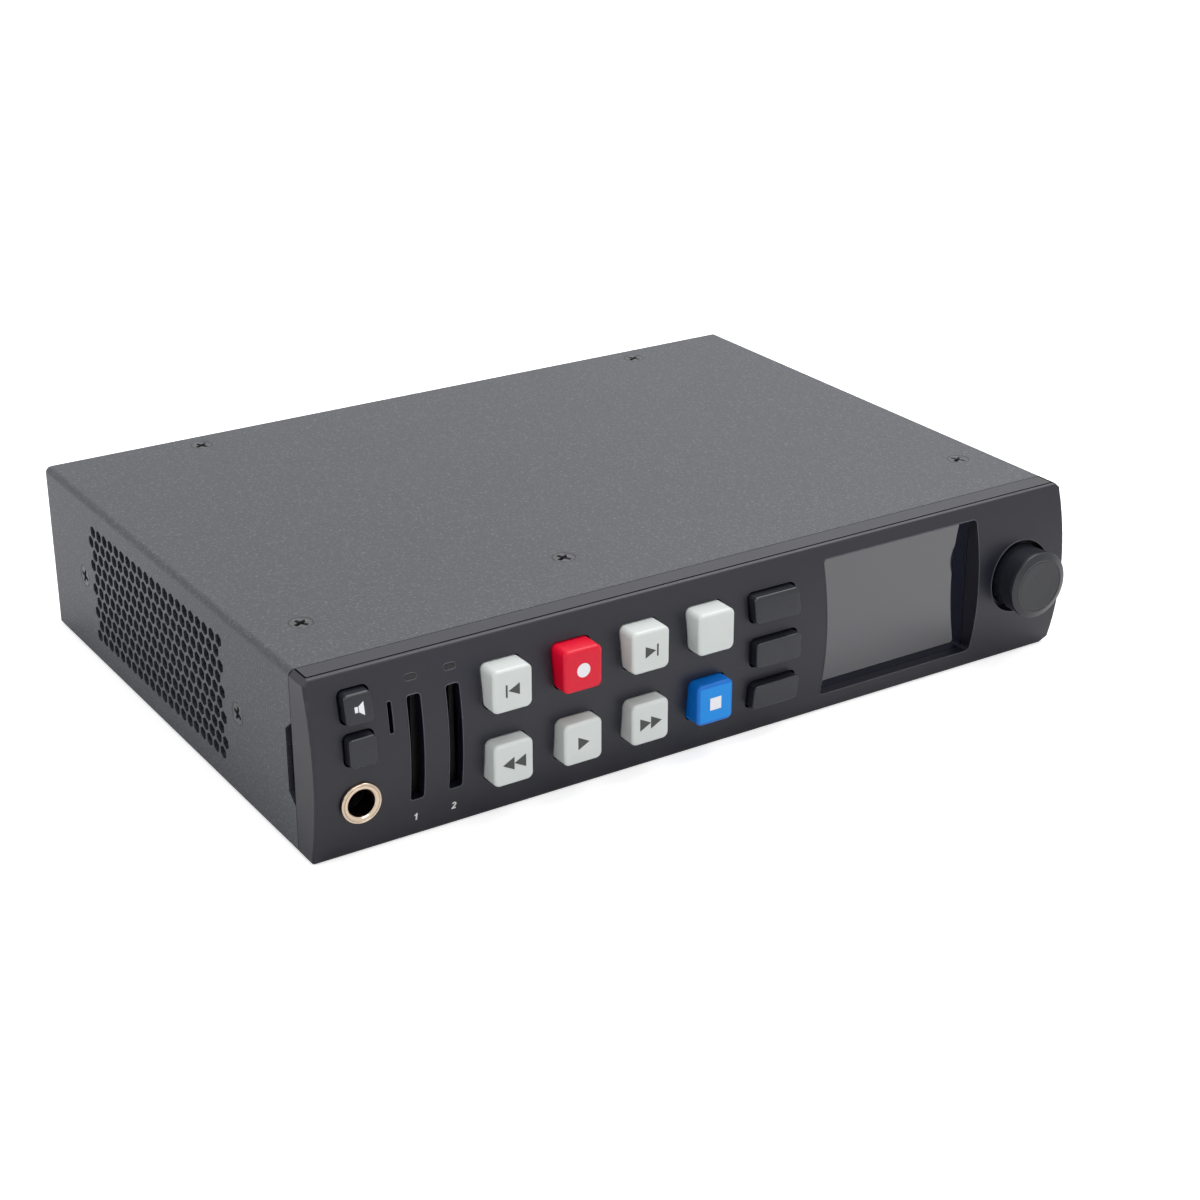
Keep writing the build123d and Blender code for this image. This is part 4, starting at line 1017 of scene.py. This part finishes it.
@dataclass
class Keys:
    """The square and the dark keys: a cap with a round front edge, the flange behind it and the stem."""

    wardrobe: Wardrobe
    bezel: Bezel
    flange_reach: float = 0.8 * MM
    flange_front: float = -70.6 * MM
    flange_thickness: float = 0.8 * MM
    stem: float = 3.0 * MM
    stem_corner: float = 0.3 * MM
    corner: float = 1.5 * MM
    edge: float = 0.85 * MM
    dark_corner: float = 1.1 * MM
    dark_edge: float = 0.4 * MM
    corner_loss: float = 0.7
    edge_rings: int = 7
    inner: tuple = (0.7, 0.35, 0.02)

    def rings(self, node: str, dark: bool) -> np.ndarray:
        """Works out the rings of one key, from the end of its stem to the middle of its face.

        The front edge is a quarter circle: at an angle a the ring has moved in by edge * (1 - cos a) and
        lies edge * (1 - sin a) behind the face. Inside it the rings shrink towards the middle.

        Args:
            node: The key's node.
            dark: Whether its face follows the bezel's curve.

        Returns:
            An array of rings, points and x, y, z.
        """
        low, high, middle = middle_of(node)
        at = (middle.x, middle.z)
        flange = np.array((high.x - low.x, high.z - low.z))
        cap = flange - 2 * self.flange_reach
        corner, edge = (self.dark_corner, self.dark_edge) if dark else (self.corner, self.edge)
        back = self.flange_front + self.flange_thickness
        rows = []
        for size, radius, y in (
            ((self.stem, self.stem), self.stem_corner, high.y),
            ((self.stem, self.stem), self.stem_corner, back),
            (flange, corner, back),
            (flange, corner, self.flange_front),
            (cap, corner, self.flange_front),
        ):
            rows.append(np.insert(rounded(at, *size, radius), 1, y, axis=1))
        for angle in np.linspace(0.0, math.pi / 2, self.edge_rings):
            inset = edge * (1 - math.cos(angle))
            ring = rounded(at, *(cap - 2 * inset), corner - self.corner_loss * inset)
            rows.append(self.front(ring, edge * (1 - math.sin(angle)), low.y, dark))
        for share in self.inner:
            rows.append(self.front(np.array(at) + (ring - at) * share, 0.0, low.y, dark))
        return np.stack(rows)

    def front(self, outline: np.ndarray, depth: float, face: float, dark: bool) -> np.ndarray:
        """Puts rows of x and z behind the face of a key: the curved face, or a flat one at a given Y."""
        y = self.bezel.surface(outline[:, 1], self.bezel.key_proud - depth) if dark else face + depth
        return np.insert(outline, 1, y, axis=1)

    def build(self) -> None:
        """Makes every key in place of its node."""
        for part in frame["record"]["subparts"]:
            node, slot = part["node"], Slot(part["material_slot"])
            if node.startswith("key_") and node in frame["bodies"]:
                shape = Surfaces()
                shape.closed(self.rings(node, slot is Slot.DARK))
                shape.piece(node.replace("key", "cap"), self.wardrobe[slot], node, slot, node, sharp=50.0)


@dataclass
class Knob:
    """The search knob: a turned cap with a flange, a bevel and a slightly sunk face, in millimetres."""

    wardrobe: Wardrobe
    node: str = "search_knob"
    rear: tuple = ((0.0, 2.2), (3.0, 2.2), (3.0, 7.3), (6.4, 7.3), (6.4, 8.7), (8.35, 8.7), (8.35, 2.15))
    flange: tuple = ((8.62, 1.9), (8.62, 0.62), (6.95, 0.0), (6.62, 0.0))
    face: tuple = ((6.55, 0.12), (6.3, 0.12), (6.2, 0.04), (4.0, 0.13), (0.0, 0.16))
    edge: float = 0.12
    steps: int = 144

    def build(self) -> None:
        """Turns the profile about the knob's axis; its places count from the knob's front."""
        low, _, middle = middle_of(self.node)
        shape = Surfaces()
        profile = softened(self.rear + self.flange + self.face, self.edge)
        shape.turned(profile, Axis((middle.x, low.y, middle.z)), self.steps)
        material = self.wardrobe[Slot.KNOB]
        shape.piece("search_knob_cap", material, self.node, Slot.KNOB, self.node, sharp=40.0)


@dataclass
class JackRing:
    """The plated sleeve of the headphone jack: a lip with a turned groove, and the neck behind it."""

    node: str = "jack_sleeve"
    bore: float = 3.2
    lip: float = 4.75
    neck: float = 4.3
    lip_depth: float = 0.77
    front: tuple = ((3.5, 0.0), (4.08, 0.0), (4.14, 0.22), (4.26, 0.22), (4.32, 0.06), (4.58, 0.0))
    edge: float = 0.06
    steps: int = 120

    def build(self) -> None:
        """Turns the section of the ring about the jack's axis; its places count from the front, in mm."""
        low, high, middle = middle_of(self.node)
        length = (high.y - low.y) / MM
        mouth = ((self.bore, length), (self.bore, 0.3), *self.front, (self.lip, 0.22))
        section = (*mouth, (self.lip, self.lip_depth), (self.neck, self.lip_depth), (self.neck, length))
        shape = Surfaces()
        profile = softened(section, self.edge, 3, closed=True)
        shape.turned(profile, Axis((middle.x, low.y, middle.z)), self.steps, ring=True)
        plating = Plated("jack_plating", (0.66, 0.54, 0.42), 0.16, relief=0.002 * MM).build()
        shape.piece("jack_ring", plating, CASE, Slot.NICKEL, self.node, sharp=40.0)


@dataclass
class Screws:
    """Countersunk screws with a cross recess, for the cover and for the tray."""

    wardrobe: Wardrobe
    head: float = 2.62
    shank: float = 1.5
    cross: float = 1.9
    arm_angle: float = 15.0
    recess: float = 1.7
    steps: int = 48
    rim: tuple = ((0.0, -0.12), (0.1, 0.0), (0.26, 0.0), (0.32, -0.05))
    # Section of the black ring round each cover screw: painted shade for the dark gap round its head.
    shade_ring: tuple = ((2.3, -0.5), (2.35, -0.5), (2.77, -0.07), (2.55, -0.07))
    cover_length: float = 4.2
    tray_length: float = 3.0
    cover_rows: tuple = (
        (-46.0 * MM, (-92.6 * MM, -25.1 * MM, 95.1 * MM)),
        (69.7 * MM, (-65.1 * MM, 71.2 * MM)),
    )
    side_y: Spot = (-37.8 * MM, 53.9 * MM)
    side_z: float = 21.5 * MM
    tray_rows: tuple = (
        (-62.7 * MM, (-69.63 * MM, 0.0, 69.63 * MM)),
        (-53.6 * MM, (-20.05 * MM, 40.09 * MM)),
        (69.1 * MM, (-80.18 * MM, 0.0, 80.18 * MM)),
    )

    def rings(self, axis: Axis, length: float) -> np.ndarray:
        """Works out the rings of one screw, from the end of its shank to the floor of its recess.

        The cross has four arms of half length a and half width w = a tan 15 degrees. Its radius at an
        angle t is the larger of min(a / |cos t|, w / |sin t|) and min(w / |cos t|, a / |sin t|).

        Args:
            axis: From the middle of the head's top, out of the sheet.
            length: Length of the screw, in millimetres.

        Returns:
            An array of rings, points and x, y, z.
        """
        angle = np.linspace(0.0, math.tau, self.steps, endpoint=False)
        cosine = np.maximum(np.abs(np.cos(angle)), TINY)
        sine = np.maximum(np.abs(np.sin(angle)), TINY)
        width = self.cross * math.tan(math.radians(self.arm_angle))
        arms = np.minimum(self.cross / cosine, width / sine)
        legs = np.minimum(width / cosine, self.cross / sine)
        cross = np.maximum(arms, legs)
        plain = [(self.shank, -length), (self.shank, self.shank - self.head)]
        plain += [(self.head - inset, place) for inset, place in self.rim]
        sunk = ((1.05, -0.05), (1.0, -0.12), (0.7, -self.recess), (0.02, -self.recess - 0.2))
        rows = [np.full(self.steps, reach) for reach, _ in plain] + [cross * share for share, _ in sunk]
        radius = np.stack(rows) * MM
        place = np.array([place for _, place in (*plain, *sunk)])
        along = np.repeat(place[:, None] * MM, self.steps, axis=1)
        return axis.points(radius * np.cos(angle), radius * np.sin(angle), along)

    def cover_axes(self) -> list[Axis]:
        """Finds the cover's screws: five in the top and two in each side.

        Returns:
            Their axes, out of the sheet.
        """
        low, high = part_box("cover_screws")
        top = [(x, y, high.z) for y, row in self.cover_rows for x in row]
        axes = [Axis(place, (0.0, 0.0, 1.0), (0.9, 0.436, 0.0)) for place in top]
        for x, out in ((low.x, -1.0), (high.x, 1.0)):
            axes += [Axis((x, y, self.side_z), (out, 0.0, 0.0), (0.0, 0.94, 0.342)) for y in self.side_y]
        return axes

    def tray_axes(self) -> list[Axis]:
        """Where the tray's screws are, with their axes down."""
        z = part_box("tray_screws")[0].z
        return [Axis((x, y, z), (0.0, 0.0, -1.0), (0.8, 0.6, 0.0)) for y, row in self.tray_rows for x in row]

    def heads(self, name: str, axes: list[Axis], length: float) -> None:
        """Makes the screws of one sheet in place of their node.

        Args:
            name: The sheet's name.
            axes: The axes of its screws.
            length: Length of the screws, in millimetres.
        """
        shape = Surfaces()
        for axis in axes:
            shape.closed(self.rings(axis, length))
        shape.piece(f"{name}_screw_heads", self.wardrobe[Slot.SCREW], CASE, Slot.SCREW, f"{name}_screws")

    def build(self) -> None:
        """Makes the screws of the cover, black rings round them that paint the shade of the gap round each
        head, and the screws of the tray.
        """
        self.heads("cover", self.cover_axes(), self.cover_length)
        # The black rings are painted shade where the gap round each head looks dark.
        shade_rings = Surfaces()
        for axis in self.cover_axes():
            shade_rings.turned(np.array(self.shade_ring) * MM, axis, self.steps, ring=True)
        shade_rings.piece("cover_screw_shade_rings", self.wardrobe[Slot.BLACK], CASE, Slot.BLACK)
        self.heads("tray", self.tray_axes(), self.tray_length)


@dataclass
class Rims:
    """Thin soft rims round the openings of the face, where the moulding's edge catches the light, in a paler
    colour than the face that paints that highlight.

    The openings are rows of the middle's x and z, the width, the height and the corner's radius, in
    millimetres: the slots with their lamps, the sound slot and the window. The well is round.
    """

    bezel: Bezel
    reach: float = 0.13 * MM
    grown: float = 0.1 * MM
    flat: float = 0.8
    sides: int = 8
    long: float = 2 * MM
    divided: int = 24
    openings: tuple = (
        (-80.95, 22.7, 3.4, 25.2, 0.85),
        (-80.95, 39.05, 2.9, 1.35, 0.7),
        (-71.45, 22.7, 3.4, 25.2, 0.85),
        (-71.45, 39.05, 2.9, 1.35, 0.7),
        (-86.8, 31.55, 1.1, 7.3, 0.59),
        (53.55, 22.6, 47.5, 35.4, 1.05),
    )
    well: tuple = (91.1, 22.65, 9.5)
    well_steps: int = 96

    def rim(self, shape: Surfaces, outline: np.ndarray) -> None:
        """Adds a thin round rim along an outline on the curved face.

        A point of the rim is the outline's point, plus reach * cos t across the outline and a little
        less than reach * sin t out of the face.

        Args:
            shape: Where the surface goes.
            outline: Rows of x and z, closed.
        """
        run = np.roll(outline, -1, axis=0) - np.roll(outline, 1, axis=0)
        run /= np.linalg.norm(run, axis=1, keepdims=True)
        across = np.stack((run[:, 1], -run[:, 0]), axis=1)
        turn = np.linspace(0.0, math.tau, self.sides, endpoint=False)
        spots = outline[:, None] + across[:, None] * (self.reach * np.cos(turn))[None, :, None]
        y = self.bezel.surface(spots[..., 1]) - self.reach * np.sin(turn) * self.flat
        shape.grid(np.stack((spots[..., 0], y, spots[..., 1]), axis=-1), around=True, along=True)

    def dense(self, outline: np.ndarray) -> np.ndarray:
        """Gives an outline more points on its long runs, so that it follows the curve of the face.

        Args:
            outline: Rows of x and z, closed.

        Returns:
            The outline with its long runs divided.
        """
        runs = []
        for start, end in zip(outline, np.roll(outline, -1, axis=0)):
            count = self.divided if np.linalg.norm(end - start) > self.long else 1
            runs.append(start + (end - start) * np.linspace(0.0, 1.0, count, endpoint=False)[:, None])
        return np.concatenate(runs)

    def build(self) -> None:
        """Makes the rims of all the openings and of the knob's well as one piece, paler than the face as a
        painted highlight.
        """
        shape = Surfaces()
        for x, z, width, height, corner in np.array(self.openings) * MM:
            self.rim(shape, self.dense(rounded((x, z), width + self.grown, height + self.grown, corner)))
        x, z, radius = np.array(self.well) * MM
        self.rim(shape, circle((x, z), radius + self.grown / 2, self.well_steps))
        # The rims' paler colour is a painted highlight on the edges of the openings.
        gloss = Finish("edge_painted_highlight", from_screen(60, 61, 69), 0.25, mottle=0.05).build()
        shape.piece("opening_rims", gloss, CASE, Slot.BEZEL, sharp=60.0)


@dataclass(frozen=True)
class Port:
    """What shows inside one kind of rear port, in millimetres.

    A row is how high it stands above the port's middle, how many contacts it has and how far apart the
    first and the last are. A size is width, height and length, and then how deep the end lies.
    """

    node: str
    rows: tuple
    contact: tuple
    tongue: tuple = ()
    width: float = 0.0

    def middles(self) -> list[Place]:
        """Finds the mouth of each port of the node: one in the middle, or one at each end.

        Returns:
            X and Z of their middles and Y of their mouths.
        """
        low, high, middle = middle_of(self.node)
        half = self.width * MM / 2
        across = (low.x + half, high.x - half) if self.width else (middle.x,)
        return [(x, middle.z, high.y) for x in across]


@dataclass
class RearContacts:
    """Insulators, tongues and contacts inside the rear connectors."""

    wardrobe: Wardrobe
    coax_x: tuple = (-90.0 * MM, -74.0 * MM, -58.0 * MM, -42.0 * MM)
    coax_z: float = 15.6 * MM
    coax: tuple = ((1.15, -9.0), (3.95, -9.0), (3.95, -3.2), (3.4, -2.6), (1.9, -2.6), (1.15, -3.1))
    coax_edge: float = 0.15
    coax_steps: int = 48
    tip: float = 0.15 * MM
    inset: float = 0.12 * MM
    roundness: float = 0.2
    ports: tuple = (
        Port(
            "hdmi_ports",
            ((0.66, 10, 9.0), (-0.66, 10, 9.0)),
            (0.4, 0.12, 7.5, 1.9),
            (11.0, 1.3, 9.0, 1.5),
            15.0,
        ),
        Port("usb_port", ((0.38, 12, 5.2), (-0.38, 12, 5.2)), (0.22, 0.08, 5.0, 1.5), (6.6, 0.75, 6.5, 1.2)),
        Port("network_jack", ((1.8, 8, 7.2),), (0.45, 0.3, 11.0, 3.0)),
        Port("remote_port", ((1.42, 5, 11.08), (-1.42, 4, 8.31)), (1.3, 1.3, 2.6, 4.2)),
    )

    def insulators(self) -> None:
        """White insulator deep in each coaxial jack, turned about its pin."""
        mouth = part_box("coax_jacks")[1].y
        shape = Surfaces()
        for x in self.coax_x:
            section = softened(self.coax, self.coax_edge, 2, closed=True)
            shape.turned(section, Axis((x, mouth, self.coax_z)), self.coax_steps, ring=True)
        white = Finish("coax_insulator", (0.72, 0.72, 0.7), 0.5, mottle=0.02).build()
        shape.piece("coax_insulators", white, CASE, Slot.BLACK)

    def tongue(self, shape: Surfaces, at: Place, size: tuple) -> None:
        """Adds a flat tongue with round corners that reaches from inside a port to near its mouth.

        Args:
            shape: Where the surfaces go.
            at: X and Z of its middle, and Y of the port's mouth.
            size: Width, height, length and how deep its end lies, in millimetres.
        """
        x, z, mouth = at
        width, height, length, deep = np.array(size) * MM
        end = mouth - deep
        rows = []
        for y, inset in ((end - length, 0.0), (end - self.tip, 0.0), (end, self.inset)):
            ring = rounded((x, z), width - 2 * inset, height - 2 * inset, height * self.roundness)
            rows.append(np.insert(ring, 1, y, axis=1))
        shape.closed(np.stack(rows))

    def build(self) -> None:
        """Makes the insulators, the tongues of the ports, and the contacts of all of them."""
        self.insulators()
        tongues, contacts = Surfaces(), Surfaces()
        for port in self.ports:
            for x, z, mouth in port.middles():
                if port.tongue:
                    self.tongue(tongues, (x, z, mouth), port.tongue)
                for rise, count, width in port.rows:
                    for step in np.linspace(-width / 2, width / 2, count) * MM:
                        self.tongue(contacts, (x + step, z + rise * MM, mouth), port.contact)
        tongues.piece("port_tongues", self.wardrobe[Slot.BLACK], CASE, Slot.BLACK)
        gold = Plated("gold_contact", (0.83, 0.6, 0.25), 0.25).build()
        contacts.piece("port_contacts", gold, CASE, Slot.NICKEL)


@dataclass
class Studio:
    """Floor, lamps, background and camera, none of them part of the recorder.

    A lamp is its name, its place, the spot that it looks at, its size and its power in watts.
    """

    camera_place: Place = (-0.28238, -0.46101, 0.25033)
    azimuth: float = -32.787
    elevation: float = 24.009
    lens: float = 68.37
    sensor: float = 36.0
    reach: Spot = (0.01, 50.0)
    floor_size: float = 6.0
    floor_drop: float = 0.2 * MM
    floor_glow: float = 0.54
    floor_tones: Spot = (0.86, 0.9)
    floor_cloud: float = 0.4
    sky: float = 0.5
    lamps: tuple = (
        ("overhead", (0.45, 0.15, 1.1), (0.0, 0.0, 0.0), 1.1, 12.0),
        ("front", (0.1, -1.0, 0.95), (0.0, -0.05, 0.02), 0.9, 5.4),
        ("left", (-1.2, 0.1, 0.8), (0.0, 0.0, 0.02), 0.8, 5.0),
    )

    def build_floor(self) -> None:
        """A wide pale floor that keeps shadows and is clear from below, so that the underside shows."""
        x, y = oblong((0.0, 0.0), self.floor_size, self.floor_size).T
        mesh = bpy.data.meshes.new("floor")
        mesh.from_pydata(np.column_stack((x, y, np.full(4, -self.floor_drop))), [], [(0, 1, 2, 3)])
        floor = bpy.data.objects.new("floor", mesh)
        bpy.context.scene.collection.objects.link(floor)
        graph = Graph(bpy.data.materials.new("floor_white"))
        dark, light = ((tone,) * 3 for tone in self.floor_tones)
        tone = graph.blend(graph.noise(self.floor_cloud), dark, light)
        matt = graph.node("ShaderNodeBsdfDiffuse", {"Color": tone})
        seen = graph.node("ShaderNodeLightPath", output="Is Camera Ray")
        glow = graph.node("ShaderNodeEmission", {"Color": WHITE, "Strength": seen * self.floor_glow})
        both = graph.node("ShaderNodeAddShader", {0: matt, 1: glow})
        under = graph.node("ShaderNodeNewGeometry", output="Backfacing")
        clear = graph.node("ShaderNodeBsdfTransparent", {"Color": WHITE})
        sided = graph.node("ShaderNodeMixShader", {0: under, 1: both, 2: clear})
        graph.node("ShaderNodeOutputMaterial", {"Surface": sided})
        mesh.materials.append(graph.owner)

    def build_sky(self) -> None:
        """White where it is seen or mirrored, dimmer as light."""
        graph = Graph(bpy.data.worlds.new("studio"))
        kinds = ("Is Camera Ray", "Is Glossy Ray", "Is Transmission Ray")
        camera, glossy, through = (graph.node("ShaderNodeLightPath", output=kind) for kind in kinds)
        strength = self.sky + camera.larger(glossy).larger(through) * (1.0 - self.sky)
        white = graph.node("ShaderNodeBackground", {"Color": WHITE, "Strength": strength})
        graph.node("ShaderNodeOutputWorld", {"Surface": white})
        bpy.context.scene.world = graph.owner

    def build_lamps(self) -> None:
        """Soft square lamps, each turned towards the recorder."""
        for name, place, aim, size, power in self.lamps:
            data = bpy.data.lights.new(name, "AREA")
            data.shape = "SQUARE"
            data.size = size
            data.energy = power
            lamp = bpy.data.objects.new(name, data)
            lamp.location = place
            lamp.rotation_euler = (Vector(aim) - Vector(place)).to_track_quat("-Z", "Y").to_euler()
            bpy.context.scene.collection.objects.link(lamp)

    def build_camera(self) -> None:
        """The photograph's viewpoint."""
        turn, rise = math.radians(self.azimuth), math.radians(self.elevation)
        back = Vector((math.sin(turn) * math.cos(rise), -math.cos(turn) * math.cos(rise), math.sin(rise)))
        data = bpy.data.cameras.new("camera")
        data.lens = self.lens
        data.sensor_width = self.sensor
        data.clip_start, data.clip_end = self.reach
        camera = bpy.data.objects.new("camera", data)
        camera.rotation_mode = "QUATERNION"
        camera.rotation_quaternion = (-back).to_track_quat("-Z", "Y")
        camera.location = self.camera_place
        bpy.context.scene.collection.objects.link(camera)
        bpy.context.scene.camera = camera

    def build(self) -> None:
        """Sets up the whole studio."""
        self.build_floor()
        self.build_sky()
        self.build_lamps()
        self.build_camera()
        bpy.context.scene.view_settings.view_transform = "Standard"


def main() -> None:
    """Builds the studio and every dressed piece in order."""
    logging.basicConfig(level=logging.INFO, format="%(message)s")
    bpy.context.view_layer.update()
    Studio().build()
    wardrobe = Wardrobe()
    wardrobe.build()
    wardrobe.dress()
    bezel = Bezel()
    Keys(wardrobe, bezel).build()
    Knob(wardrobe).build()
    JackRing().build()
    Screws(wardrobe).build()
    Rims(bezel).build()
    SlotNumbers(bezel).build()
    KeyMarks(bezel).build()
    RearContacts(wardrobe).build()


if __name__ == "__main__":
    main()
